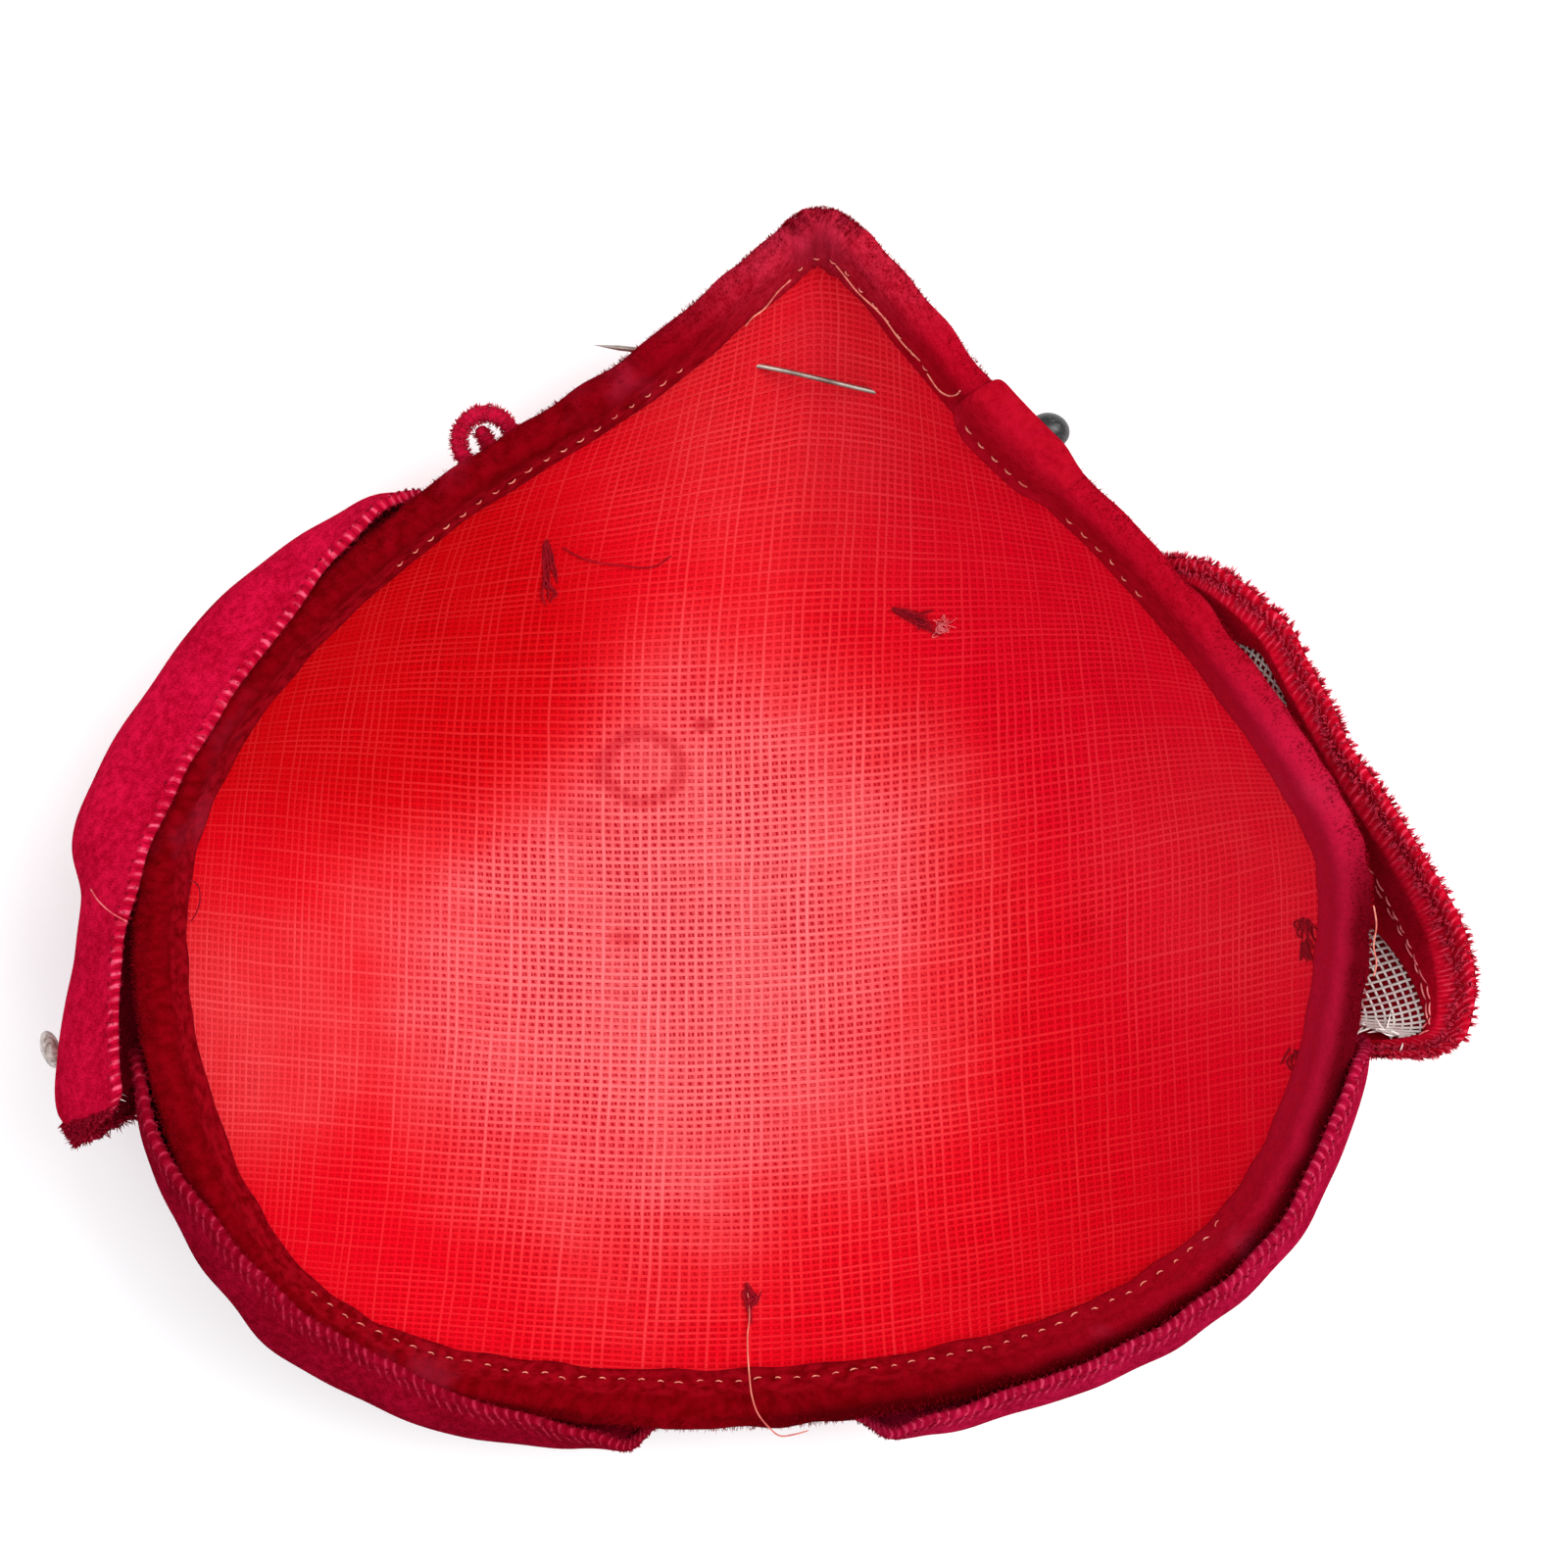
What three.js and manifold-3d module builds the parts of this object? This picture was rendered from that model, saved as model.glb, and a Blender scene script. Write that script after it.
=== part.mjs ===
// A small velvet toque of teardrop outline, lying on its crown with its hollow up.
// Millimetres. +Z up, +Y toward the point, +X right. The origin is the middle of the flat patch it rests on.
import * as THREE from 'three';
import { mergeVertices } from 'three/addons/utils/BufferGeometryUtils.js';
import Module from 'manifold-3d';

const wasm = await Module();
wasm.setup();

// ---------------------------------------------------------------- driving sizes
const GAP = 0.3;
const FOUNDATION_THICKNESS = 1.0;
const COVER_THICKNESS = 1.2;
const BINDING_THICKNESS = 1.1;
const PETAL_THICKNESS = 2.0;
const NET_THICKNESS = 0.6;

const REST_RADIUS = 25;       // the crown lies flat inside this radius
const POINT_RISE = 50;        // height of the foundation's edge above the crown, at the point
const BACK_RISE = 36;         // the same at the back
const SIDE_RISE = 67;         // the same at the widest places left and right
const HALF_WIDTH = 93;

const COVER_INSIDE = FOUNDATION_THICKNESS + GAP;
const COVER_OUTSIDE = COVER_INSIDE + COVER_THICKNESS;

// The foundation's edge seen from above, counter-clockwise from the blunt point.
const RIM = [
  { x: 10.8, y: 106.5 },
  { x: 6, y: 103.3 },
  { x: -17, y: 84 },
  { x: -50.6, y: 61 },
  { x: -73.2, y: 40.3 },
  { x: -88.4, y: 17.7 },
  { x: -94.1, y: -3.2 },
  { x: -93.2, y: -24 },
  { x: -84.6, y: -53.6 },
  { x: -71.8, y: -72.3 },
  { x: -53.6, y: -82.6 },
  { x: -26.9, y: -88.5 },
  { x: 4.9, y: -89.2 },
  { x: 38.3, y: -82.8 },
  { x: 60.6, y: -72.8 },
  { x: 77.9, y: -58.1 },
  { x: 87.9, y: -39.6 },
  { x: 93.5, y: -14 },
  { x: 93.5, y: 3.3 },
  { x: 84.8, y: 21.2 },
  { x: 64.4, y: 49.1 },
  { x: 38.7, y: 76.2 },
  { x: 16.4, y: 103 },
];
const STEPS_PER_RIM_POINT = 3;
const AROUND_STEPS = RIM.length * STEPS_PER_RIM_POINT;

// ---------------------------------------------------------------- the bowl's surface
const rimCurve = new THREE.CatmullRomCurve3(RIM.map(({ x, y }) => new THREE.Vector3(x, y, 0)), true, 'centripetal');
const backY = Math.min(...RIM.map((p) => p.y));
const pointY = Math.max(...RIM.map((p) => p.y));

// The edge dips toward the point and the back, as a cap does that is bent over the head from ear to ear.
function rimRise(x, y) {
  const middle = BACK_RISE + (POINT_RISE - BACK_RISE) * (y - backY) / (pointY - backY);
  const outward = Math.min(Math.abs(x) / HALF_WIDTH, 1);
  return middle + (SIDE_RISE - middle) * outward ** 2;
}

// A meridian's slope grows evenly from nothing at the flat patch to `steepest` at the rim,
// so its height is -ln(cos(slope)) * span / steepest. Bisection finds the slope that gives the rim's height.
function steepestSlope(heightToSpan) {
  let low = 0.01;
  let high = 1.55;
  for (let step = 0; step < 40; step += 1) {
    const middle = (low + high) / 2;
    if (-Math.log(Math.cos(middle)) / middle < heightToSpan) low = middle;
    else high = middle;
  }
  return low;
}

// share: 0 in the middle of the crown, FLAT_SHARE where the flat patch ends, 1 at the rim.
const FLAT_SHARE = 0.2;
function liningPoint(around, share) {
  const rim = rimCurve.getPoint(((around % 1) + 1) % 1);
  const reach = Math.hypot(rim.x, rim.y);
  const span = reach - REST_RADIUS;
  const steepest = steepestSlope(rimRise(rim.x, rim.y) / span);
  const climb = Math.max((share - FLAT_SHARE) / (1 - FLAT_SHARE), 0);
  const radius = share < FLAT_SHARE ? REST_RADIUS * share / FLAT_SHARE : REST_RADIUS + span * climb;
  const height = -Math.log(Math.cos(steepest * climb)) * span / steepest;
  return new THREE.Vector3(rim.x / reach * radius, rim.y / reach * radius, height + COVER_OUTSIDE);
}

const NUDGE = 1e-4;
function outward(around, share) {
  if (share < FLAT_SHARE) return new THREE.Vector3(0, 0, -1);
  const along = liningPoint(around + NUDGE, share).sub(liningPoint(around - NUDGE, share));
  const up = liningPoint(around, share + NUDGE).sub(liningPoint(around, share));
  return along.cross(up).normalize();
}

// A point `offset` outside the lining's surface, measured square to it.
function shellPoint(around, share, offset) {
  return liningPoint(around, share).addScaledVector(outward(around, share), offset);
}

// A point near the rim: `down` mm below the foundation's edge along the wall, or above it where negative.
function rimPoint(around, down, offset) {
  const edge = liningPoint(around, 1);
  const near = liningPoint(around, 1 - NUDGE);
  const perShare = edge.distanceTo(near) / NUDGE;
  if (down > 0) return shellPoint(around, 1 - down / perShare, offset);
  const upward = edge.clone().sub(near).normalize();
  return edge.addScaledVector(upward, -down).addScaledVector(outward(around, 1), offset);
}

// Bearings run in degrees clockwise from +Y seen from above. The rim curve starts at the point's own bearing.
const startBearing = THREE.MathUtils.radToDeg(Math.atan2(RIM[0].x, RIM[0].y));
function aroundAt(bearing) {
  const wanted = bearing > startBearing ? bearing - 360 : bearing;
  let low = 0;
  let high = 1;
  for (let step = 0; step < 40; step += 1) {
    const middle = (low + high) / 2;
    const { x, y } = rimCurve.getPoint(middle);
    const found = THREE.MathUtils.radToDeg(Math.atan2(x, y));
    const turned = found > startBearing + NUDGE ? found - 360 : found;
    if (turned > wanted) low = middle;
    else high = middle;
  }
  return (low + high) / 2;
}

function polarPoint(bearing, reach, rise) {
  const angle = THREE.MathUtils.degToRad(bearing);
  return new THREE.Vector3(Math.sin(angle) * reach, Math.cos(angle) * reach, rise);
}

// ---------------------------------------------------------------- closed skins
// Joins rings of points into one closed body. A ring of one point is a pole. Unless the last ring joins the
// first (loop), an end ring of many points is closed by a strip across it.
function skin(rings, { loop = false } = {}) {
  const points = rings.flat();
  const starts = [];
  rings.reduce((start, ring) => {
    starts.push(start);
    return start + ring.length;
  }, 0);
  const faces = [];
  const joins = loop ? rings.length : rings.length - 1;
  for (let r = 0; r < joins; r += 1) {
    const a = rings[r];
    const b = rings[(r + 1) % rings.length];
    const sides = Math.max(a.length, b.length);
    for (let s = 0; s < sides; s += 1) {
      const a0 = starts[r] + s % a.length;
      const a1 = starts[r] + (s + 1) % a.length;
      const b0 = starts[(r + 1) % rings.length] + s % b.length;
      const b1 = starts[(r + 1) % rings.length] + (s + 1) % b.length;
      if (a0 !== a1) faces.push(a0, a1, b1);
      if (b0 !== b1) faces.push(a0, b1, b0);
    }
  }
  const closeEnd = (start, count, flip) => {
    for (let low = 0, high = count - 1; high - low > 1; low += 1, high -= 1) {
      const corners = [start + low, start + low + 1, start + high - 1, start + high];
      const strip = [corners[0], corners[2], corners[1], corners[0], corners[3], corners[2]];
      const kept = high - low === 2 ? [corners[0], corners[3], corners[1]] : strip;
      faces.push(...(flip ? [...kept].reverse() : kept));
    }
  };
  if (!loop && rings[0].length > 1) closeEnd(starts[0], rings[0].length, false);
  if (!loop && rings.at(-1).length > 1) closeEnd(starts.at(-1), rings.at(-1).length, true);
  return solidGeometry(points, faces);
}

// Turns the faces outward where the volume they enclose comes out negative.
function solidGeometry(points, faces) {
  let volume = 0;
  for (let f = 0; f < faces.length; f += 3) {
    const [a, b, c] = [points[faces[f]], points[faces[f + 1]], points[faces[f + 2]]];
    volume += a.dot(b.clone().cross(c));
  }
  const geometry = new THREE.BufferGeometry();
  geometry.setAttribute('position', new THREE.Float32BufferAttribute(points.flatMap((p) => p.toArray()), 3));
  geometry.setIndex(volume < 0 ? [...faces].reverse() : faces);
  return geometry;
}

function steps(count) {
  return Array.from({ length: count + 1 }, (_, i) => i / count);
}

const aroundSteps = steps(AROUND_STEPS).slice(0, -1);

// A layer of the bowl between two offsets from the lining: both faces, joined at the rim.
const SHELL_SHARES = [FLAT_SHARE, 0.38, 0.54, 0.67, 0.78, 0.87, 0.94, 1];
function bowlLayer(inside, outside) {
  const ring = (share, offset) => aroundSteps.map((around) => shellPoint(around, share, offset));
  const pole = (offset) => [new THREE.Vector3(0, 0, COVER_OUTSIDE - offset)];
  return skin([
    pole(outside),
    ...SHELL_SHARES.map((share) => ring(share, outside)),
    ...[...SHELL_SHARES].reverse().map((share) => ring(share, inside)),
    pole(inside),
  ]);
}

// A sheet of cloth: `middle(a, b)` gives its middle surface, a along it and b from its root to its free edge.
const SHEET_NUDGE = 0.01;
function sheet(middle, alongSteps, acrossSteps, thickness, offset = 0) {
  const normal = (a, b) => {
    const along = middle(Math.min(a + SHEET_NUDGE, 1), b).sub(middle(Math.max(a - SHEET_NUDGE, 0), b));
    const across = middle(a, Math.min(b + SHEET_NUDGE, 1)).sub(middle(a, Math.max(b - SHEET_NUDGE, 0)));
    return along.cross(across).normalize();
  };
  const point = (a, b, side) => middle(a, b).addScaledVector(normal(a, b), offset + side * thickness / 2);
  return skin(alongSteps.map((a) => [
    ...acrossSteps.map((b) => point(a, b, 1)),
    ...[...acrossSteps].reverse().map((b) => point(a, b, -1)),
  ]));
}

// Even steps drawn closer together toward both ends, where a sheet's corners turn.
const END_CROWDING = 0.6;
function crowdedSteps(count) {
  return steps(count).map((s) => s - END_CROWDING * Math.sin(2 * Math.PI * s) / (2 * Math.PI));
}

// A round bar along a route of points, closed at both ends.
function bar(points, radius, sides, stepsAlong) {
  const route = new THREE.CatmullRomCurve3(points, false, 'centripetal');
  const outline = new THREE.Shape();
  for (let s = 0; s < sides; s += 1) {
    const angle = s / sides * 2 * Math.PI;
    const corner = [Math.cos(angle) * radius, Math.sin(angle) * radius];
    if (s === 0) outline.moveTo(...corner);
    else outline.lineTo(...corner);
  }
  return new THREE.ExtrudeGeometry(outline, { extrudePath: route, steps: stepsAlong, bevelEnabled: false });
}

// An egg-shaped head centred on a point, its long axis toward another.
function head(centre, toward, radius, halfLength, sides) {
  const geometry = new THREE.SphereGeometry(1, sides, Math.ceil(sides / 2) + 1);
  geometry.scale(radius, halfLength, radius);
  const turn = new THREE.Quaternion();
  turn.setFromUnitVectors(new THREE.Vector3(0, 1, 0), toward.clone().sub(centre).normalize());
  geometry.applyQuaternion(turn);
  return geometry.translate(centre.x, centre.y, centre.z);
}

// ---------------------------------------------------------------- cutting
function toManifold(geometry) {
  const bare = geometry.clone();
  bare.deleteAttribute('normal');
  bare.deleteAttribute('uv');
  const merged = mergeVertices(bare, 1e-4);
  return new wasm.Manifold(new wasm.Mesh({
    numProp: 3,
    vertProperties: new Float32Array(merged.attributes.position.array),
    triVerts: new Uint32Array(merged.index.array),
  }));
}

function cut(geometry, ...tools) {
  const left = tools.reduce((body, tool) => body.subtract(toManifold(tool)), toManifold(geometry));
  const mesh = left.getMesh();
  const result = new THREE.BufferGeometry();
  result.setAttribute('position', new THREE.BufferAttribute(mesh.vertProperties, 3));
  result.setIndex(new THREE.BufferAttribute(mesh.triVerts, 1));
  return result;
}

// ---------------------------------------------------------------- materials
const cloth = (color) => new THREE.MeshStandardMaterial({ color, roughness: 0.9, metalness: 0 });
const FOUNDATION_RED = 0xe0182c;
const CRIMSON_VELVET = 0x8c0012;
const ROSE_VELVET = 0xb40f3c;
const CREAM_NET = 0xd8cfc4;
const steel = () => new THREE.MeshStandardMaterial({ color: 0xb8b4ae, roughness: 0.25, metalness: 1 });

const hat = new THREE.Group();
hat.name = 'toque';
function add(name, geometry, material) {
  const mesh = new THREE.Mesh(geometry, material);
  mesh.name = name;
  hat.add(mesh);
}

// ---------------------------------------------------------------- hat pins
const PIN_RADIUS = 0.45;
const PIN_SIDES = 8;
const HEAD_SIDES = 14;

// The front pin is slightly bent. Its shaft enters right of the point, crosses the hollow and comes out left.
const frontPin = {
  bead: new THREE.Vector3(50.1, 75.7, 30.5),
  rightWall: new THREE.Vector3(20.3, 82.1, 32.5),
  leftWall: new THREE.Vector3(0, 86.5, 33.5),
  tip: new THREE.Vector3(-27.4, 89.8, 34.5),
  beadRadius: 3.1,
  beadHalfLength: 3.6,
};
const frontRoute = [frontPin.bead, frontPin.rightWall, frontPin.leftWall, frontPin.tip];
const FRONT_STEPS = 10;
const beadEnd = frontPin.bead.clone().lerp(
  frontPin.rightWall,
  (frontPin.beadHalfLength + GAP) / frontPin.bead.distanceTo(frontPin.rightWall),
);
const frontShaft = bar([beadEnd, ...frontRoute.slice(1)], PIN_RADIUS, PIN_SIDES, FRONT_STEPS);
const frontBore = bar([beadEnd, ...frontRoute.slice(1)], PIN_RADIUS + GAP, PIN_SIDES, FRONT_STEPS);

// The side pin goes in through the left front petal and ends against the cover behind it.
const sidePin = {
  head: new THREE.Vector3(-116.9, -28.6, 44),
  tip: new THREE.Vector3(-82.9, -18, 34),
  headRadius: 3.2,
  headHalfLength: 1.6,
};
const sideHeadEnd = sidePin.head.clone().lerp(
  sidePin.tip,
  (sidePin.headHalfLength + GAP) / sidePin.head.distanceTo(sidePin.tip),
);
const sideShaft = bar([sideHeadEnd, sidePin.tip], PIN_RADIUS, PIN_SIDES, 1);
const sideBore = bar([sideHeadEnd, sidePin.tip], PIN_RADIUS + GAP, PIN_SIDES, 1);

// ---------------------------------------------------------------- foundation, cover and binding
add('foundation', cut(bowlLayer(0, FOUNDATION_THICKNESS), frontBore), cloth(FOUNDATION_RED));
add('crown_cover', cut(bowlLayer(COVER_INSIDE, COVER_OUTSIDE), frontBore), cloth(ROSE_VELVET));

// The binding is folded over the edge: `down` runs along the wall and `offset` square to it. Its fold is rounded
// by two points above the edge, a share FOLD_CORNER in from either face.
const BINDING_INSIDE_LEG = 8.2;
const BINDING_OUTSIDE_LEG = 6;
const FOLD_CORNER = 0.2;
const innerFace = -GAP - BINDING_THICKNESS;
const outerFace = COVER_OUTSIDE + GAP + BINDING_THICKNESS;
const foldTop = -GAP - BINDING_THICKNESS;
const BINDING_PROFILE = [
  { down: BINDING_OUTSIDE_LEG, offset: outerFace },
  { down: BINDING_OUTSIDE_LEG / 2, offset: outerFace },
  { down: 0, offset: outerFace },
  { down: foldTop, offset: THREE.MathUtils.lerp(outerFace, innerFace, FOLD_CORNER) },
  { down: foldTop, offset: THREE.MathUtils.lerp(innerFace, outerFace, FOLD_CORNER) },
  { down: 0, offset: innerFace },
  { down: BINDING_INSIDE_LEG / 2, offset: innerFace },
  { down: BINDING_INSIDE_LEG, offset: innerFace },
  { down: BINDING_INSIDE_LEG, offset: -GAP },
  { down: BINDING_INSIDE_LEG / 2, offset: -GAP },
  { down: -GAP, offset: -GAP },
  { down: -GAP, offset: COVER_OUTSIDE + GAP },
  { down: BINDING_OUTSIDE_LEG / 2, offset: COVER_OUTSIDE + GAP },
  { down: BINDING_OUTSIDE_LEG, offset: COVER_OUTSIDE + GAP },
];
const bindingRings = aroundSteps.map((around) => BINDING_PROFILE.map(({ down, offset }) => (
  rimPoint(around, down, offset))));
add('rim_binding', skin(bindingRings, { loop: true }), cloth(CRIMSON_VELVET));

// The binding's free end lies over its start on the right straight side. Like the binding it goes over the edge:
// LAP_PATH is its middle from its lower edge in the hollow to its lower edge outside. Its end nearer the point
// slants a little and has a rounded corner in the hollow; toward its other end it narrows.
const LAP_THICKNESS = 1;
const LAP_ROOM = 1.5 * GAP + LAP_THICKNESS / 2;
const LAP_DEPTH = 9.2;
const LAP_OUTSIDE_DEPTH = 3.4;
const LAP_PATH = [
  { down: LAP_DEPTH, offset: innerFace - LAP_ROOM },
  { down: LAP_DEPTH / 2, offset: innerFace - LAP_ROOM },
  { down: 0, offset: innerFace - LAP_ROOM },
  { down: foldTop - LAP_ROOM, offset: innerFace + LAP_ROOM / 2 },
  { down: foldTop - LAP_ROOM, offset: outerFace - LAP_ROOM / 2 },
  { down: 0, offset: outerFace + LAP_ROOM },
  { down: LAP_OUTSIDE_DEPTH, offset: outerFace + LAP_ROOM },
];
const LAP = {
  startBearing: 24,
  slant: 1.7,         // how much further round its end lies outside than in the hollow, in degrees
  endBearing: 39,
  roundShare: 0.2,    // the share of its length over which the corner in the hollow is rounded
  rounding: 0.22,     // the share of its path that the rounding takes off at the very end
  narrowing: 0.08,    // the share of its path that it has lost at its far end
};
const lapPath = new THREE.CatmullRomCurve3(
  LAP_PATH.map(({ down, offset }) => new THREE.Vector3(down, offset, 0)),
  false,
  'centripetal',
);
function lapMiddle(a, b) {
  const fromCorner = Math.max(1 - a / LAP.roundShare, 0);
  const lost = LAP.rounding * (1 - Math.sqrt(1 - fromCorner ** 2)) + LAP.narrowing * a ** 3;
  const { x: down, y: offset } = lapPath.getPoint(lost + (1 - lost) * b);
  const bearing = THREE.MathUtils.lerp(LAP.startBearing + LAP.slant * b, LAP.endBearing, a);
  return rimPoint(aroundAt(bearing), down, offset);
}
const LAP_ALONG = 10;
const LAP_ACROSS = 9;
const lapSheet = sheet(lapMiddle, crowdedSteps(LAP_ALONG), steps(LAP_ACROSS), LAP_THICKNESS);
add('binding_lap', lapSheet, cloth(CRIMSON_VELVET));

// ---------------------------------------------------------------- petals
// A row is the petal's section at one bearing. Its root is sewn at the share `root` of the way to the rim,
// `stand` off the cover. Halfway from there to the rim it stands `hip` off, then it passes its belly and ends at
// its free edge, both given as [reach from the axis, rise above the rest].
const PETALS = {
  front_left: {
    corner: 0.1,
    rows: [
      { bearing: -40, root: 0.45, stand: 0.8, hip: 1, belly: [82, 47], edge: [85, 55] },
      { bearing: -45, root: 0.45, stand: 0.8, hip: 2, belly: [87.2, 51], edge: [85, 59] },
      { bearing: -50, root: 0.45, stand: 0.8, hip: 3, belly: [89.8, 53.5], edge: [84.7, 61.5] },
      { bearing: -61, root: 0.45, stand: 0.8, hip: 5, belly: [96.3, 57], edge: [85.2, 65.3] },
      { bearing: -71.5, root: 0.45, stand: 0.8, hip: 6, belly: [100.7, 60.5], edge: [88, 69.2] },
      { bearing: -81, root: 0.45, stand: 0.8, hip: 7, belly: [105.8, 63.5], edge: [92, 72.4] },
      { bearing: -87, root: 0.45, stand: 0.8, hip: 7, belly: [108, 64], edge: [95.1, 73.2] },
      { bearing: -91.5, root: 0.47, stand: 0.8, hip: 6, belly: [106.3, 64], edge: [97.3, 73.2] },
      { bearing: -96, root: 0.5, stand: 1.5, hip: 7, belly: [108, 63.5], edge: [99.6, 72.8] },
      { bearing: -100, root: 0.58, stand: 4, hip: 7, belly: [110.9, 63], edge: [101.6, 72.2] },
      { bearing: -104.5, root: 0.7, stand: 7, hip: 9, belly: [114.2, 62.5], edge: [103.4, 71.6] },
      { bearing: -108.5, root: 0.8, stand: 9, hip: 10, belly: [116.7, 62], edge: [104.8, 71] },
      { bearing: -111.5, root: 0.84, stand: 9, hip: 10, belly: [115.7, 61], edge: [105.5, 70] },
    ],
  },
  front_right: {
    corner: 0.12,
    rows: [
      { bearing: 51, root: 0.45, stand: 1, hip: 1.4, belly: [81.4, 43], edge: [85.5, 54] },
      { bearing: 54, root: 0.45, stand: 0.8, hip: 1.4, belly: [83, 43.5], edge: [88.6, 56] },
      { bearing: 58, root: 0.45, stand: 0.8, hip: 1.5, belly: [85, 44], edge: [91.8, 58] },
      { bearing: 64.5, root: 0.45, stand: 0.8, hip: 2, belly: [87, 45], edge: [95, 60] },
      { bearing: 71, root: 0.45, stand: 0.8, hip: 2, belly: [89, 46], edge: [95.9, 62] },
      { bearing: 79, root: 0.45, stand: 0.8, hip: 2.5, belly: [93, 45], edge: [98.9, 64] },
      { bearing: 86, root: 0.45, stand: 0.8, hip: 3, belly: [97.5, 44], edge: [104.8, 65] },
      { bearing: 91, root: 0.47, stand: 0.8, hip: 4, belly: [101, 43], edge: [110.3, 65.5] },
      { bearing: 95, root: 0.52, stand: 1.5, hip: 5, belly: [103, 43], edge: [114.2, 65.5] },
      { bearing: 99, root: 0.6, stand: 3, hip: 6, belly: [104.5, 46], edge: [116.4, 65] },
      { bearing: 103, root: 0.68, stand: 5, hip: 7, belly: [105.5, 49], edge: [116.4, 64] },
      { bearing: 106, root: 0.75, stand: 7, hip: 8, belly: [105, 52], edge: [113, 63] },
    ],
  },
  back_left: {
    corner: 0.1,
    rows: [
      { bearing: -104, root: 0.45, stand: 0.8, hip: 1, belly: [101.7, 59], edge: [101.9, 66.5] },
      { bearing: -107, root: 0.45, stand: 0.8, hip: 1, belly: [102.6, 60], edge: [102.2, 68.3] },
      { bearing: -114, root: 0.45, stand: 0.8, hip: 1.2, belly: [105.2, 62], edge: [102.4, 71] },
      { bearing: -122.5, root: 0.45, stand: 0.8, hip: 2, belly: [107, 61.5], edge: [100.7, 69] },
      { bearing: -129, root: 0.45, stand: 0.8, hip: 2, belly: [107.5, 59.3], edge: [100.3, 65.8] },
      { bearing: -135, root: 0.45, stand: 0.8, hip: 2, belly: [108.1, 55.8], edge: [99.6, 62] },
      { bearing: -143.5, root: 0.45, stand: 0.8, hip: 2, belly: [106.3, 49.6], edge: [98.3, 55.8] },
      { bearing: -150, root: 0.45, stand: 0.8, hip: 2, belly: [104.8, 44.5], edge: [97.7, 51.4] },
      { bearing: -156.5, root: 0.45, stand: 0.8, hip: 2, belly: [102.2, 41], edge: [96.6, 47.9] },
      { bearing: -163, root: 0.45, stand: 0.8, hip: 1.5, belly: [98.9, 38.5], edge: [96, 45.6] },
      { bearing: -167, root: 0.45, stand: 0.8, hip: 1.2, belly: [98, 34], edge: [98, 40.5] },
      { bearing: -169.7, root: 0.45, stand: 0.8, hip: 1, belly: [93.5, 24], edge: [95.8, 31] },
      { bearing: -173.5, root: 0.45, stand: 0.8, hip: 1, belly: [87, 20], edge: [91, 27] },
    ],
  },
  back_right: {
    corner: 0.1,
    rows: [
      { bearing: 173, root: 0.45, stand: 0.8, hip: 1, belly: [86, 20], edge: [90, 27] },
      { bearing: 169.3, root: 0.45, stand: 0.8, hip: 1, belly: [92.2, 24], edge: [94.2, 31.3] },
      { bearing: 166.3, root: 0.45, stand: 0.8, hip: 1.2, belly: [96.1, 34], edge: [95.9, 40.3] },
      { bearing: 161.5, root: 0.45, stand: 0.8, hip: 1.5, belly: [97.1, 38.5], edge: [94.1, 45.3] },
      { bearing: 155, root: 0.45, stand: 0.8, hip: 2, belly: [98.4, 41], edge: [94.6, 48] },
      { bearing: 148, root: 0.45, stand: 0.8, hip: 2, belly: [99.9, 45], edge: [95.7, 51.6] },
      { bearing: 137.5, root: 0.45, stand: 0.8, hip: 2, belly: [102.6, 51.5], edge: [98.1, 58.2] },
      { bearing: 126.5, root: 0.45, stand: 0.8, hip: 1.5, belly: [104, 58.5], edge: [99.9, 65.2] },
      { bearing: 117, root: 0.45, stand: 0.8, hip: 1.2, belly: [103.3, 62.5], edge: [99.5, 69.8] },
      { bearing: 108, root: 0.45, stand: 0.8, hip: 1, belly: [101.8, 63], edge: [99.2, 72] },
      { bearing: 104.5, root: 0.45, stand: 0.8, hip: 1.5, belly: [101.2, 62], edge: [100, 70.5] },
    ],
  },
};

// Five lines run along a petal: three on the wall from its roots to its hips, then its bellies and its free edge.
// Each section is a curve through those five, drawn back from the free edge near the ends to round the corners.
const HIP_SHARE = 0.5;
const WALL_LINES = [0, 0.5, 1];
const CORNER_DEPTH = 0.4;
function petalMiddle({ rows, corner }) {
  const curve = (points) => new THREE.CatmullRomCurve3(points, false, 'centripetal');
  const standOff = COVER_OUTSIDE + PETAL_THICKNESS / 2;
  const onWall = (row, climbed) => shellPoint(
    aroundAt(row.bearing),
    THREE.MathUtils.lerp(row.root, 1, HIP_SHARE * climbed),
    standOff + THREE.MathUtils.lerp(row.stand, row.hip, climbed),
  );
  const lines = [
    ...WALL_LINES.map((climbed) => curve(rows.map((row) => onWall(row, climbed)))),
    curve(rows.map((row) => polarPoint(row.bearing, ...row.belly))),
    curve(rows.map((row) => polarPoint(row.bearing, ...row.edge))),
  ];
  return (a, b) => {
    const fromEnd = Math.min(a, 1 - a, corner) / corner;
    const reached = 1 - CORNER_DEPTH * (1 - Math.sqrt(1 - (1 - fromEnd) ** 2));
    return curve(lines.map((line) => line.getPoint(a))).getPoint(b * reached);
  };
}

const middles = Object.fromEntries(Object.entries(PETALS).map(([name, petal]) => [name, petalMiddle(petal)]));
const PETAL_ALONG = crowdedSteps(24);
const PETAL_ACROSS = [0, 0.25, 0.5, 0.63, 0.75, 0.82, 0.88, 0.94, 1];    // closer together over the fold
for (const [name, middle] of Object.entries(middles)) {
  const whole = sheet(middle, PETAL_ALONG, PETAL_ACROSS, PETAL_THICKNESS);
  add(`petal_${name}`, name === 'front_left' ? cut(whole, sideBore) : whole, cloth(ROSE_VELVET));
}

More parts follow.
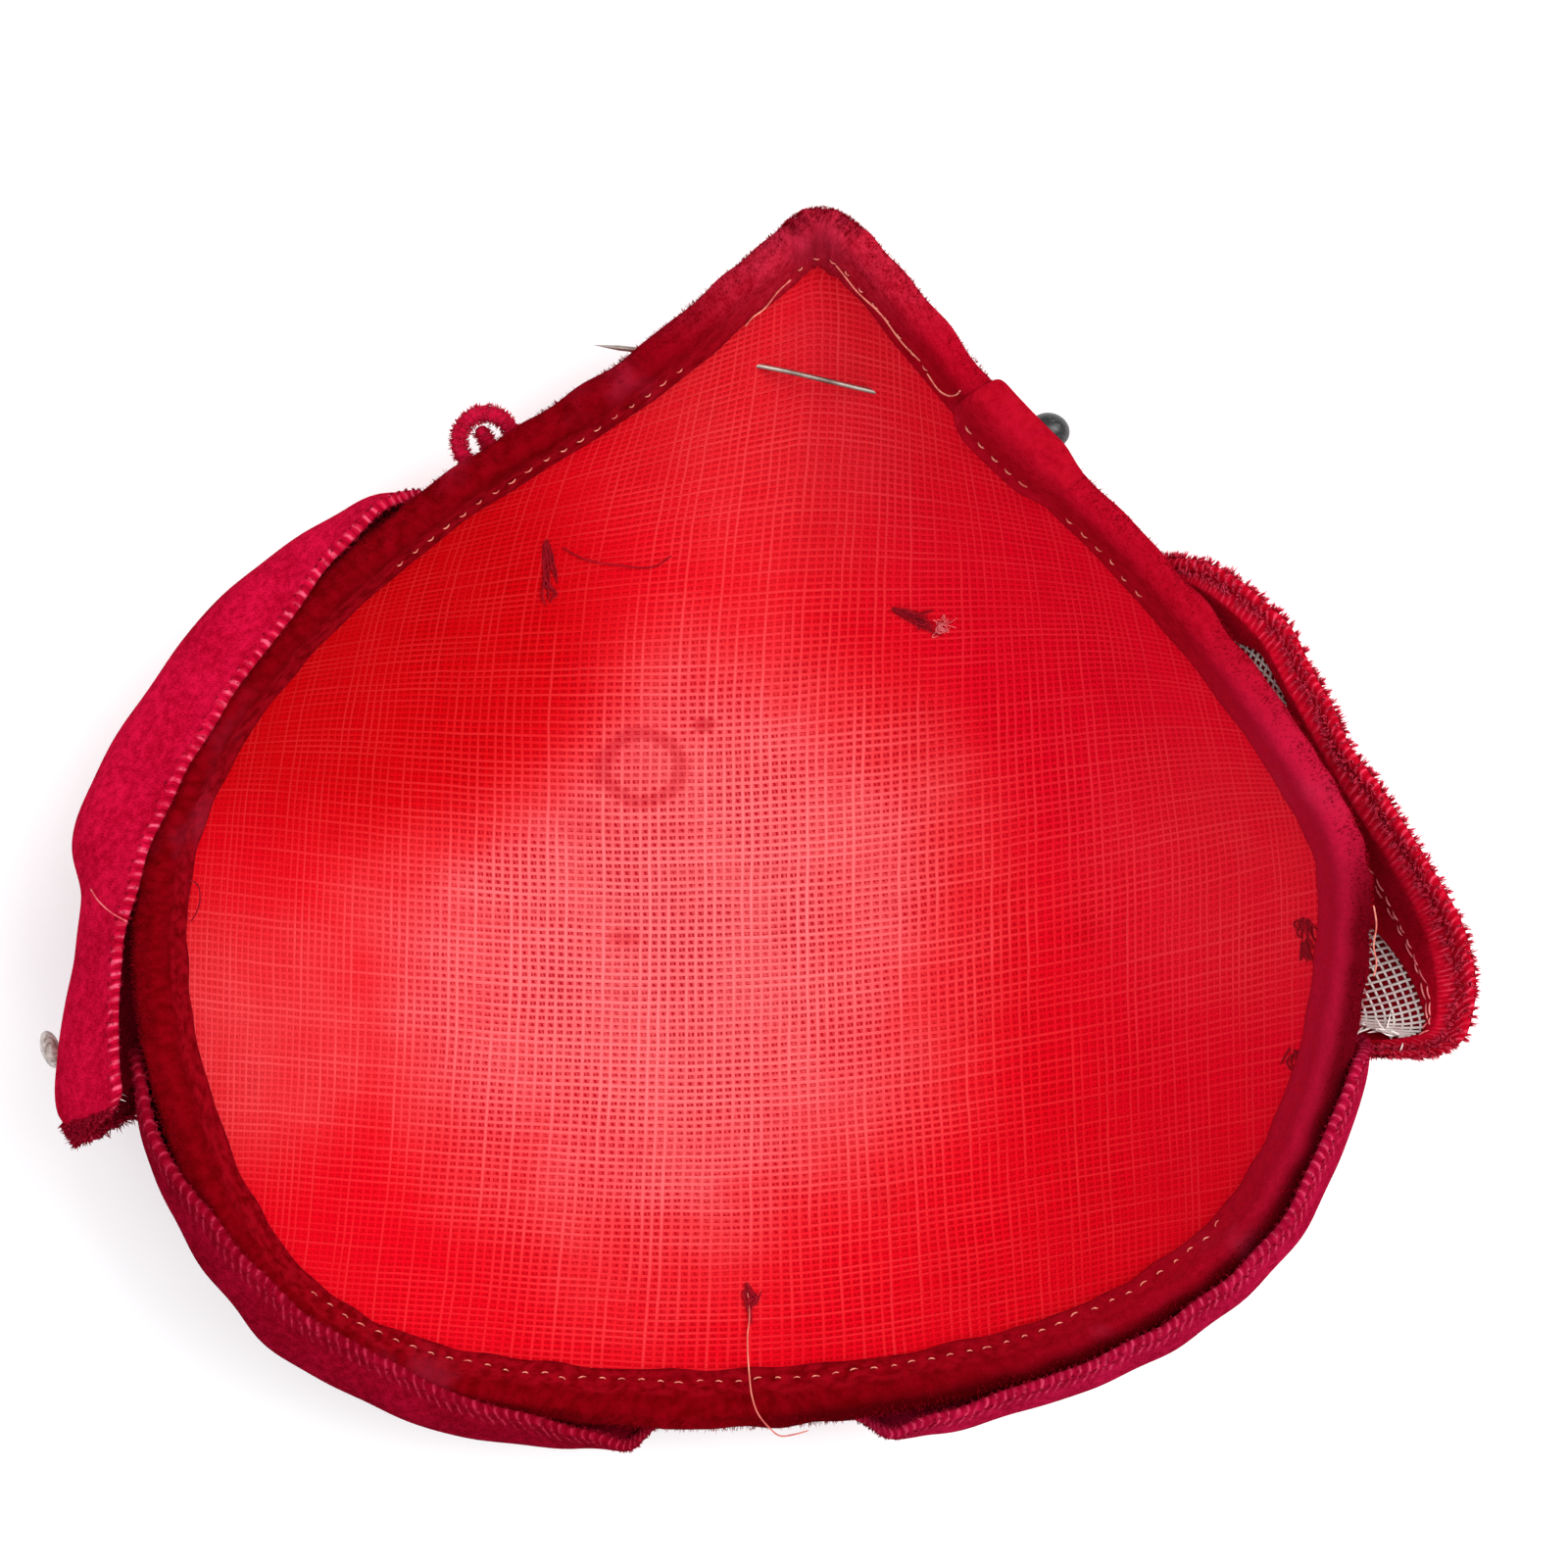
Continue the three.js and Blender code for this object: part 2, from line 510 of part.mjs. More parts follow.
// ---------------------------------------------------------------- net inside the two front petals
// Each net lines part of its petal's inner face. `from` and `to` count the petal's own stations along it, `low`
// and `high` those across it, so that the net's facets lie side by side with the petal's.
const NETS = {
  net_front_left: { petal: 'front_left', inward: -1, from: 17, to: 20, low: 4, high: 7 },
  net_front_right: { petal: 'front_right', inward: 1, from: 7, to: 21, low: 3, high: 6 },
};
const NET_GAP = 0.5;
const netOffset = PETAL_THICKNESS / 2 + NET_GAP + NET_THICKNESS / 2;
for (const [name, net] of Object.entries(NETS)) {
  const along = PETAL_ALONG.slice(net.from, net.to + 1);
  const across = PETAL_ACROSS.slice(net.low, net.high + 1);
  const whole = sheet(middles[net.petal], along, across, NET_THICKNESS, net.inward * netOffset);
  add(name, net.petal === 'front_left' ? cut(whole, sideBore) : whole, cloth(CREAM_NET));
}

// ---------------------------------------------------------------- trimming loop
// The cord comes out from under the binding, makes an open loop beside it and goes back; its knotted end lies
// below, against the loop.
const CORD_RADIUS = 1.4;
const CORD_SIDES = 8;
const LOOP_ROUTE = [
  new THREE.Vector3(-45.1, 66.7, 45),
  new THREE.Vector3(-48.6, 70.6, 45.6),
  new THREE.Vector3(-48.3, 74.6, 46),
  new THREE.Vector3(-45.3, 76.8, 46),
  new THREE.Vector3(-41.9, 76.1, 46),
  new THREE.Vector3(-38.9, 72.3, 45.4),
];
const LOOP_STEPS = 18;
add('trim_loop', bar(LOOP_ROUTE, CORD_RADIUS, CORD_SIDES, LOOP_STEPS), cloth(ROSE_VELVET));
const KNOT_ROUTE = [new THREE.Vector3(-42.3, 68.9, 43.35), new THREE.Vector3(-45.7, 74.9, 44.25)];
const KNOT_STEPS = 2;
add('trim_knot', bar(KNOT_ROUTE, CORD_RADIUS, CORD_SIDES, KNOT_STEPS), cloth(CRIMSON_VELVET));

// ---------------------------------------------------------------- pins
add('hatpin_front_shaft', frontShaft, steel());
add(
  'hatpin_front_bead',
  head(frontPin.bead, frontPin.rightWall, frontPin.beadRadius, frontPin.beadHalfLength, HEAD_SIDES),
  new THREE.MeshStandardMaterial({ color: 0x0a0c0d, roughness: 0.12, metalness: 0 }),
);
add('hatpin_side_shaft', sideShaft, steel());
add(
  'hatpin_side_head',
  head(sidePin.head, sidePin.tip, sidePin.headRadius, sidePin.headHalfLength, HEAD_SIDES),
  new THREE.MeshStandardMaterial({ color: 0xc9bcb4, roughness: 0.35, metalness: 0.2 }),
);

export default hat;
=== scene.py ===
"""A small velvet toque of teardrop outline, dressed around its solid model.

Sizes are in millimetres and are turned into metres where a mesh is written. +Z is up out of the hollow,
+Y points to the hat's blunt point and +X to its right.
"""

import bmesh
import bpy
import numpy as np
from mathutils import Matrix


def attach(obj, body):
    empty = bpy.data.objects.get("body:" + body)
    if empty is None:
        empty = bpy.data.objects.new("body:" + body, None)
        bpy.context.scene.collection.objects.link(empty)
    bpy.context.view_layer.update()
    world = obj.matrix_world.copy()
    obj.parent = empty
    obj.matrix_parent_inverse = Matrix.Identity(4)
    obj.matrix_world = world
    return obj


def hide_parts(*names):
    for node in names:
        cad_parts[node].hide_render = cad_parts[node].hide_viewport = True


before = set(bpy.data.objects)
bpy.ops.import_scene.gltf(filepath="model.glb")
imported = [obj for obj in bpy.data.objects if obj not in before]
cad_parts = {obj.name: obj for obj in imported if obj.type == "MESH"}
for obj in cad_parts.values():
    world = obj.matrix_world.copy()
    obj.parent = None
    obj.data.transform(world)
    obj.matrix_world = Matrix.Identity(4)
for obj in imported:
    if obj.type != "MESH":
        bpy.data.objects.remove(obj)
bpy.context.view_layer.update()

# ---------------------------------------------------------------- camera, lights and floor
# The hat lies crown down on a pale table and is seen from straight above. A broad lamp stands off to its
# right, as a window would, and the room's white walls fill the shadows.
MM = 0.001
EYE = (4.96, 15.5, 569.5)
LENS_MM, SENSOR_MM = 72.6, 36
NEAREST_MM = 10

camera_data = bpy.data.cameras.new("camera")
camera_data.lens = LENS_MM
camera_data.sensor_width = SENSOR_MM
camera_data.clip_start = NEAREST_MM * MM
camera = bpy.data.objects.new("camera", camera_data)
camera.location = [v * MM for v in EYE]
bpy.context.collection.objects.link(camera)
bpy.context.scene.camera = camera
bpy.context.scene.view_settings.view_transform = "Standard"

WARM_WHITE, COOL_WHITE = (1.0, 0.98, 0.96), (0.97, 0.98, 1.0)
LAMP_WATTS = 15
ROOM_LIGHT = 0.72


def area_lamp(name, place, size, tint):
    """A square lamp at a place in metres, turned to face the hat."""
    data = bpy.data.lights.new(name, "AREA")
    data.size = size
    data.energy = LAMP_WATTS
    data.color = tint
    lamp = bpy.data.objects.new(name, data)
    lamp.location = place
    lamp.rotation_euler = (-lamp.location).to_track_quat("-Z", "Y").to_euler()
    bpy.context.collection.objects.link(lamp)


area_lamp("window_lamp", (0.75, 0.35, 1.25), 0.8, WARM_WHITE)
area_lamp("ceiling_lamp", (0.0, 0.0, 1.7), 1.4, COOL_WHITE)

world = bpy.data.worlds.new("room")
world.use_nodes = True
room_walls = world.node_tree.nodes["Background"]
room_walls.inputs["Color"].default_value = (*COOL_WHITE, 1)
room_walls.inputs["Strength"].default_value = ROOM_LIGHT
bpy.context.scene.world = world

FLOOR_HALF = 1.6  # metres
floor_corners = [(x * FLOOR_HALF, y * FLOOR_HALF, 0) for x, y in ((-1, -1), (1, -1), (1, 1), (-1, 1))]
floor_mesh = bpy.data.meshes.new("floor")
floor_mesh.from_pydata(floor_corners, [], [(0, 1, 2, 3)])
floor = bpy.data.objects.new("floor", floor_mesh)
bpy.context.collection.objects.link(floor)


class Wire:
    """One output among a material's nodes. Arithmetic on wires and numbers adds Math nodes."""

    def __init__(self, tree, output):
        self.tree = tree
        self.output = output

    def add(self, kind, settings=None, inputs=None, output=0):
        """A node of that kind. Its settings are made first, then its sockets get their values or links."""
        node = self.tree.nodes.new(kind)
        for name, value in (settings or {}).items():
            setattr(node, name, value)
        for key, value in (inputs or {}).items():
            if isinstance(value, Wire):
                self.tree.links.new(value.output, node.inputs[key])
            else:
                node.inputs[key].default_value = value
        return Wire(self.tree, node.outputs[output])

    def math(self, operation, *values):
        """A Math node on numbers and wires."""
        return self.add("ShaderNodeMath", {"operation": operation}, dict(enumerate(values)))

    def __add__(self, other):
        return self.math("ADD", self, other)

    def __sub__(self, other):
        return self.math("SUBTRACT", self, other)

    def __rsub__(self, other):
        return self.math("SUBTRACT", other, self)

    def __mul__(self, other):
        return self.math("MULTIPLY", self, other)

    def __pow__(self, other):
        return self.math("POWER", self, other)

    __radd__ = __add__
    __rmul__ = __mul__

    def one(self, operation):
        """A Math node with this wire as its only input, such as FLOOR, FRACT or ABSOLUTE."""
        return self.math(operation, self)

    def most(self, other):
        """The larger of the two."""
        return self.math("MAXIMUM", self, other)

    def least(self, other):
        """The smaller of the two."""
        return self.math("MINIMUM", self, other)

    def ramp(self, low, high):
        """0 below low, 1 above high and a smooth step between; low may be the larger, which turns it
        round."""
        settings = {"interpolation_type": "SMOOTHSTEP"}
        return self.add("ShaderNodeMapRange", settings, {"Value": self, "From Min": low, "From Max": high})

    def noise(self, scale, detail=3.0, stretch=(1, 1, 1), roughness=0.55, start=0.0):
        """Noise from 0 to 1 in this vector's space, its cells 1 / scale wide and stretched by those
        factors. Another start gives another pattern."""
        place = self.add("ShaderNodeMapping", None, {
            "Vector": self, "Location": [start] * 3, "Scale": [scale / s for s in stretch]})
        return place.add("ShaderNodeTexNoise", {"noise_dimensions": "3D"},
                         {"Vector": place, "Scale": 1.0, "Detail": detail, "Roughness": roughness})

    def mix(self, first, second):
        """A colour from first where this is 0 to second where it is 1, by a Mix node's colour sockets."""
        settings = {"data_type": "RGBA"}
        return self.add("ShaderNodeMix", settings, {0: self, 6: colour(first), 7: colour(second)}, output=2)

    def parts(self):
        """The x, y and z of this vector."""
        split = self.add("ShaderNodeSeparateXYZ", None, {0: self})
        return [Wire(self.tree, socket) for socket in split.output.node.outputs]

    def vector(self, y, z):
        """The vector of this wire as its x with a y and a z."""
        return self.add("ShaderNodeCombineXYZ", None, {0: self, 1: y, 2: z})

    def on_object(self):
        """The object's own coordinates in metres, for the same material."""
        return self.add("ShaderNodeTexCoord", output="Object")

    def bump(self, distance, strength=1.0):
        """A normal bent by this height, whose 0 to 1 stands for that many metres."""
        return self.add("ShaderNodeBump", None, {"Height": self, "Distance": distance, "Strength": strength})


def colour(value):
    """What a colour socket takes: a wire as it is, or three numbers with a full alpha."""
    return value if isinstance(value, Wire) else (*value[:3], 1.0)


def new_material(name, source="UV", **constants):
    """A material, its surface's constant sockets set by name, its shader node, and the wire of its
    coordinates."""
    material = bpy.data.materials.new(name)
    material.use_nodes = True
    tree = material.node_tree
    shader = tree.nodes["Principled BSDF"]
    for socket, value in constants.items():
        shader.inputs[socket.replace("_", " ")].default_value = value
    coordinates = tree.nodes.new("ShaderNodeTexCoord")
    return material, shader, Wire(tree, coordinates.outputs[source])


def feed(shader, **sockets):
    """Links wires to the shader's sockets, named with _ for each space."""
    for socket, wire in sockets.items():
        wire.tree.links.new(wire.output, shader.inputs[socket.replace("_", " ")])


floor_material, floor_shader, place = new_material("pale table", "Object", Roughness=0.6)
clouds = place.noise(6, 4).ramp(0.3, 0.8)
feed(floor_shader, Base_Color=clouds.mix((0.95, 0.95, 0.95), (0.98, 0.98, 0.975)))
floor_mesh.materials.append(floor_material)

# ---------------------------------------------------------------- foundation
# The hat's body is one piece of open two-ply buckram, dyed red, stiffened and blocked wet into a bowl
# with a blunt point. Its threads stay square to the hat in the crown and are pulled aside where the wall
# is steep.
FOUNDATION_THICKNESS, COVER_THICKNESS = 1.0, 1.2
GAP = 0.3
COVER_INSIDE = FOUNDATION_THICKNESS + GAP
COVER_OUTSIDE = COVER_INSIDE + COVER_THICKNESS
REST_RADIUS, FLAT_SHARE = 25.0, 0.2  # the flat patch it rests on, in mm and as a share of the way to the rim
POINT_RISE, BACK_RISE, SIDE_RISE, HALF_WIDTH = 50.0, 36.0, 67.0, 93.0
RIM = np.array([
    (10.8, 106.5), (6, 103.3), (-17, 84), (-50.6, 61), (-73.2, 40.3), (-88.4, 17.7), (-94.1, -3.2),
    (-93.2, -24), (-84.6, -53.6), (-71.8, -72.3), (-53.6, -82.6), (-26.9, -88.5), (4.9, -89.2),
    (38.3, -82.8), (60.6, -72.8), (77.9, -58.1), (87.9, -39.6), (93.5, -14), (93.5, 3.3), (84.8, 21.2),
    (64.4, 49.1), (38.7, 76.2), (16.4, 103)])


def through(points, share, closed=False):
    """The centripetal Catmull-Rom curve through points, at a share of its control segments.

    Each segment is the cubic with the two middle points' places and tangents, where a tangent weighs the
    chords on both sides by the square roots of their lengths. Points are (count, size), or (count,
    curves, size) with a share of (curves, any) for a bundle of curves."""
    count = len(points)
    spot = (share % 1) * count if closed else np.clip(share, 0, 1) * (count - 1)
    start = np.minimum(spot.astype(int), count - 1 if closed else count - 2)
    w = (spot - start)[..., None]
    if closed:
        padded = np.concatenate([points[-1:], points, points[:2]])
    else:
        padded = np.concatenate([2 * points[:1] - points[1:2], points, 2 * points[-1:] - points[-2:-1]])
    curve = (np.arange(points.shape[1])[:, None],) if points.ndim == 3 else ()
    p0, p1, p2, p3 = (padded[(start + k,) + curve] for k in range(4))
    d1, d2, d3 = (np.maximum(np.linalg.norm(b - a, axis=-1, keepdims=True), 1e-9) ** 0.5
                  for a, b in ((p0, p1), (p1, p2), (p2, p3)))
    t1 = ((p1 - p0) / d1 - (p2 - p0) / (d1 + d2) + (p2 - p1) / d2) * d2
    t2 = ((p2 - p1) / d2 - (p3 - p1) / (d2 + d3) + (p3 - p2) / d3) * d2
    return ((2 * w**3 - 3 * w**2 + 1) * p1 + (w**3 - 2 * w**2 + w) * t1
            + (3 * w**2 - 2 * w**3) * p2 + (w**3 - w**2) * t2)


def rim_rise(x, y):
    """Height of the edge: it falls from the point to the back along the middle, and rises with the square
    of x."""
    middle = BACK_RISE + (POINT_RISE - BACK_RISE) * (y - RIM[:, 1].min()) / np.ptp(RIM[:, 1])
    return middle + (SIDE_RISE - middle) * np.clip(abs(x) / HALF_WIDTH, 0, 1) ** 2


def steepest_slope(ratio):
    """The slope s at the rim for which -ln(cos s) / s is the wall's height over its span, by bisection."""
    low, high = np.full_like(ratio, 0.01), np.full_like(ratio, 1.55)
    for _ in range(40):
        middle = (low + high) / 2
        under = -np.log(np.cos(middle)) / middle < ratio
        low, high = np.where(under, middle, low), np.where(under, high, middle)
    return low


def lining_point(around, share):
    """The bowl's inner face. From the flat patch to the rim the slope grows evenly with the distance from
    the axis, so the height is -ln(cos(slope)) * span / steepest slope."""
    around, share = np.broadcast_arrays(np.asarray(around, float), np.asarray(share, float))
    rim = through(RIM, around, closed=True)
    reach = np.linalg.norm(rim, axis=-1)
    span = reach - REST_RADIUS
    steepest = steepest_slope(rim_rise(rim[..., 0], rim[..., 1]) / span)
    climb = np.maximum((share - FLAT_SHARE) / (1 - FLAT_SHARE), 0)
    radius = np.where(share < FLAT_SHARE, REST_RADIUS * share / FLAT_SHARE, REST_RADIUS + span * climb)
    height = -np.log(np.cos(steepest * climb)) * span / steepest
    return np.stack([rim[..., 0] / reach * radius, rim[..., 1] / reach * radius, height + COVER_OUTSIDE], -1)


def unit(vectors):
    """The vectors divided by their lengths."""
    return vectors / np.maximum(np.linalg.norm(vectors, axis=-1, keepdims=True), 1e-12)


NUDGE = 1e-4


def outward(around, share):
    """The unit normal out of the bowl: the cross product of the steps round and up it, straight down on
    the patch."""
    share = np.maximum(share, FLAT_SHARE + NUDGE)
    along = lining_point(around + NUDGE, share) - lining_point(around - NUDGE, share)
    up = lining_point(around, share + NUDGE) - lining_point(around, share - NUDGE)
    return unit(np.cross(along, up))


def shell_point(around, share, offset):
    """A point that many mm outside the lining's face, square to it."""
    return lining_point(around, share) + outward(around, share) * np.asarray(offset)[..., None]


def rim_point(around, down, offset):
    """A point near the rim: down mm below the edge along the wall, or above it in line with the wall if
    negative."""
    around, down, offset = np.broadcast_arrays(*(np.asarray(v, float) for v in (around, down, offset)))
    edge, near = lining_point(around, 1.0), lining_point(around, 1 - NUDGE)
    per_share = np.linalg.norm(edge - near, axis=-1) / NUDGE
    below = shell_point(around, 1 - np.maximum(down, 0) / per_share, offset)
    return below + unit(edge - near) * np.maximum(-down, 0)[..., None]


turn_samples = np.linspace(0, 1, 4001)
rim_samples = through(RIM, turn_samples, closed=True)
bearing_samples = np.degrees(np.unwrap(np.arctan2(rim_samples[:, 0], rim_samples[:, 1])))


def at_bearing(bearing, samples):
    """What is sampled round the rim, at a bearing in degrees clockwise from the point, seen from above."""
    bearing = np.asarray(bearing, float)
    bearing = np.where(bearing > bearing_samples[0], bearing - 360, bearing)
    return np.interp(-bearing, -bearing_samples, samples)


def around_at(bearing):
    """The share of the way round the rim at a bearing."""
    return at_bearing(bearing, turn_samples)


reach_samples = np.linalg.norm(rim_samples, axis=1)
slope_samples = steepest_slope(rim_rise(*rim_samples.T) / (reach_samples - REST_RADIUS))
PAST_RIM = 1.02


def lining_height(x, y):
    """The lining's height over the table at a place seen from above: -ln(cos(slope)) * span / steepest
    slope."""
    bearing = np.degrees(np.arctan2(x, y))
    span = at_bearing(bearing, reach_samples) - REST_RADIUS
    steepest = at_bearing(bearing, slope_samples)
    climb = np.clip((np.hypot(x, y) - REST_RADIUS) / span, 0, PAST_RIM)
    return -np.log(np.cos(steepest * climb)) * span / steepest + COVER_OUTSIDE


def grid_mesh(name, points, uv, material, close_rows=False, close_columns=False):
    """A mesh on a grid of points (rows, columns, 3) in mm. A closed direction joins its last line to its
    first, and its uv grid has one line more. Points that fall together, as at a pole or a seam, are
    merged, and the faces are turned outward where the volume they enclose is negative."""
    rows, columns = points.shape[:2]
    row, column = np.meshgrid(np.arange(rows if close_rows else rows - 1),
                              np.arange(columns if close_columns else columns - 1), indexing="ij")
    corners = [(row, column), (row, column + 1), (row + 1, column + 1), (row + 1, column)]
    faces = np.stack([r % rows * columns + c % columns for r, c in corners], -1).reshape(-1, 4)
    face_uv = np.stack([uv[r % uv.shape[0], c % uv.shape[1]] for r, c in corners], -2).reshape(-1, 4, 2)
    return finish_mesh(name, points.reshape(-1, 3), faces, face_uv, material)


MERGE_DISTANCE = 2e-6  # metres


def finish_mesh(name, points, faces, face_uv, material):
    """An object from points in mm, four-cornered faces and their corners' uv. See grid_mesh."""
    a, b, c, d = (points[faces[:, k]] for k in range(4))
    if np.einsum("ij,ij", a, np.cross(b, c) + np.cross(c, d)) < 0:
        faces, face_uv = faces[:, ::-1], face_uv[:, ::-1]
    mesh = bpy.data.meshes.new(name)
    mesh.from_pydata((points * MM).tolist(), [], faces.tolist())
    mesh.uv_layers.new(name="cloth").data.foreach_set("uv", np.ascontiguousarray(face_uv, np.float32).ravel())
    merged = bmesh.new()
    merged.from_mesh(mesh)
    bmesh.ops.remove_doubles(merged, verts=merged.verts, dist=MERGE_DISTANCE)
    merged.to_mesh(mesh)
    merged.free()
    mesh.materials.append(material)
    mesh.shade_smooth()
    piece = bpy.data.objects.new(name, mesh)
    bpy.context.collection.objects.link(piece)
    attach(piece, "root")
    return piece


SECTION_STEPS = (np.arange(24) + 0.5) / 24
SLOPE_STEP = 0.25
# how the weave is drawn out of square: it leans at the point, spreads at the back, is skewed all over, and
# curls and crowds toward the sides
POINT_LEAN, LEAN_FROM, BACK_SPREAD = 0.0014, 20, 1.4e-5
SKEW, SIDE_CURL, SIDE_CROWDING = 0.05, 0.0021, 0.22


def thread_place(x, y):
    """Where a place on the lining lies in the weave, in mm across and along the threads.

    Both are the lengths of the bowl's own sections from the middle, as cloth keeps its threads' spacing.
    The threads that run to the point lean right near it and spread toward the back; the cross threads
    curl up at both sides and lie closer there."""
    here_x, here_y = x[..., None], y[..., None]
    slope_x = (lining_height(here_x * SECTION_STEPS + SLOPE_STEP, here_y)
               - lining_height(here_x * SECTION_STEPS - SLOPE_STEP, here_y)) / (2 * SLOPE_STEP)
    slope_y = (lining_height(here_x, here_y * SECTION_STEPS + SLOPE_STEP)
               - lining_height(here_x, here_y * SECTION_STEPS - SLOPE_STEP)) / (2 * SLOPE_STEP)
    across = x * np.sqrt(1 + slope_x**2).mean(-1)
    along = y * np.sqrt(1 + slope_y**2).mean(-1)
    lean = POINT_LEAN * np.maximum(y - LEAN_FROM, 0) ** 2
    spread = 1 + BACK_SPREAD * np.minimum(y, 0) ** 2
    curl = SIDE_CURL * np.clip((y + 70) / 110, np.where(x > 0, 0.05, -0.3), 1)
    crowding = 1 + SIDE_CROWDING * (x / 90) ** 2
    return np.stack([(across - lean) / spread, (along - SKEW * x - curl * x**2) * crowding], -1)


def wall_lines(first, up_count, back_count, up_offset, back_offset):
    """The shares and offsets of a wall's section: from 0 and first in even steps to 1 on one face, and
    back to 0 on the other."""
    up = np.concatenate([[0], np.linspace(first, 1, up_count)])
    back = np.concatenate([np.linspace(1, first, back_count), [0]])
    return np.concatenate([up, back])[None], np.repeat([up_offset, back_offset], [len(up), len(back)])[None]


shell_around = np.linspace(0, 1, 461)[:-1, None]
shell = shell_point(shell_around, *wall_lines(0.1, 62, 18, 0.0, FOUNDATION_THICKNESS))
shell_uv = thread_place(shell[..., 0], shell[..., 1])

CROSS_PITCH, LONG_PITCH = 1.26, 1.66

weave, weave_shader, uv = new_material("red buckram", Specular_IOR_Level=0.02)
across, along, _ = uv.parts()
drift = uv.noise(0.06, 3) - 0.5
sway = uv.noise(0.05, 3, start=40.0) - 0.5
place = uv.on_object()
x, y, _ = place.parts()


def threads(run, pitch, drift, first_line, half_width):
    """One set of parallel threads in mm across them: 1 on a thread and 0 between, and how strong the painted
    highlight on it is.

    A thread is a smooth ridge on |fraction of run / pitch - 1/2|, half_width of the pitch to each side
    and a little more where a slow noise along it says. The painted highlight is on its crown only, and only
    where that noise is high."""
    cell = (run + drift) * (1 / pitch)
    own_line = cell.one("FLOOR") * 3.7 + first_line
    slub = own_line.vector((along + across) * 0.025, 0.5).noise(1.0, 2)
    beside = (cell.one("FRACT") - 0.5).one("ABSOLUTE")
    ridge = (beside - (slub - 0.5) * 0.16).ramp(half_width + 0.09, half_width - 0.01)
    return ridge, beside.ramp(half_width + 0.05, half_width * 0.2) * slub.ramp(0.38, 0.70)


def blot(centre_x, centre_y, half_x, half_y):
    """0 in the middle of a soft oval on the lining, 1 at its edge and more outside: the root of the sum
    of the squares of x and y from its centre, each over its half size in mm."""
    dx = (x - centre_x * MM) * (1 / (half_x * MM))
    dy = (y - centre_y * MM) * (1 / (half_y * MM))
    return (dx * dx + dy * dy) ** 0.5


# the cross threads are broad, so that each hole is a short dash, and the lower ply, a little turned, halves
# some of them
long_thread, long_painted_glint = threads(across, LONG_PITCH, drift, 0.0, 0.14)
cross_thread, cross_painted_glint = threads(along, CROSS_PITCH, sway, 50.0, 0.20)
under_long, _ = threads(across + along * 0.07 + LONG_PITCH / 2, LONG_PITCH * 1.02, sway * 1.8, 90.0, 0.06)
under_cross, _ = threads(along - across * 0.05, CROSS_PITCH * 1.02, drift * 1.8 + 0.3, 150.0, 0.14)
upper = long_thread.most(cross_thread)
lower = under_long.most(under_cross)
soft = place.noise(22, 3)
ragged = place.noise(160, 3)
patches = place.noise(95, 4, start=3.0)

# The lining is a deeper red on the upper left wall. It is paler in the middle and in a few places round the
# wall, partly faded cloth and partly painted light.
deep_red_upper_left = blot(-66, 40, 47, 40).ramp(1.15, 0.55)
faded_and_painted_light = (blot(-14, -12, 75, 75) + (soft - 0.5) * 0.5).ramp(1.05, 0.12)
FADED_AND_PAINTED_LIGHT_PLACES = [  # centre and half size in mm, where its edge ends, and how pale it is: partly faded cloth, partly painted light
    ((-84, -26, 34, 30), 1.2, 0.36), ((4, 76, 40, 40), 1.3, 0.22), ((78, 0, 34, 34), 1.2, 0.17)]
for oval, edge, strength in FADED_AND_PAINTED_LIGHT_PLACES:
    faded_and_painted_light = faded_and_painted_light.most((blot(*oval) + (soft - 0.5) * 0.6).ramp(edge, 0.3) * strength)
faded_and_painted_light = faded_and_painted_light * (1 - deep_red_upper_left)
base_hole = deep_red_upper_left.mix((0.44, 0.0005, 0.004), (0.34, 0.0003, 0.0015))
base_ground_and_painted_light = deep_red_upper_left.mix((0.64, 0.0016, 0.010), (0.52, 0.0010, 0.004))
# the ground is painted lighter toward the right and the point: painted light
base_ground_and_painted_light = (x + y * 0.5).ramp(0.03, 0.09).mix(base_ground_and_painted_light, (0.76, 0.0030, 0.024))
hole = faded_and_painted_light.mix(base_hole, (0.33, 0.003, 0.014))
ground = (faded_and_painted_light + (patches - 0.5) * 0.9 * faded_and_painted_light).ramp(0.0, 1.0).mix(base_ground_and_painted_light, (0.76, 0.105, 0.115))
painted_glint_colour = (faded_and_painted_light * 0.8 + 0.16).mix(ground, (0.84, 0.24, 0.24))
dark_blotch = patches.ramp(0.60, 0.74) * 0.3
slanting = across * (2 / LONG_PITCH) + along * (0.5 / CROSS_PITCH)
pairs = (slanting.one("FRACT") - 0.5).one("ABSOLUTE").ramp(0.12, 0.34)
steep = (x.one("ABSOLUTE") - 0.045).ramp(0.0, 0.035).most((y - 0.030).ramp(0.0, 0.030) * 0.7)
open_share = (1 - upper) * (1 - lower * 0.35) * (pairs * 0.4 + 0.6) * (1 - steep * 0.45)
woven = (open_share + dark_blotch * 0.5).least(1.0).mix(ground, hole)
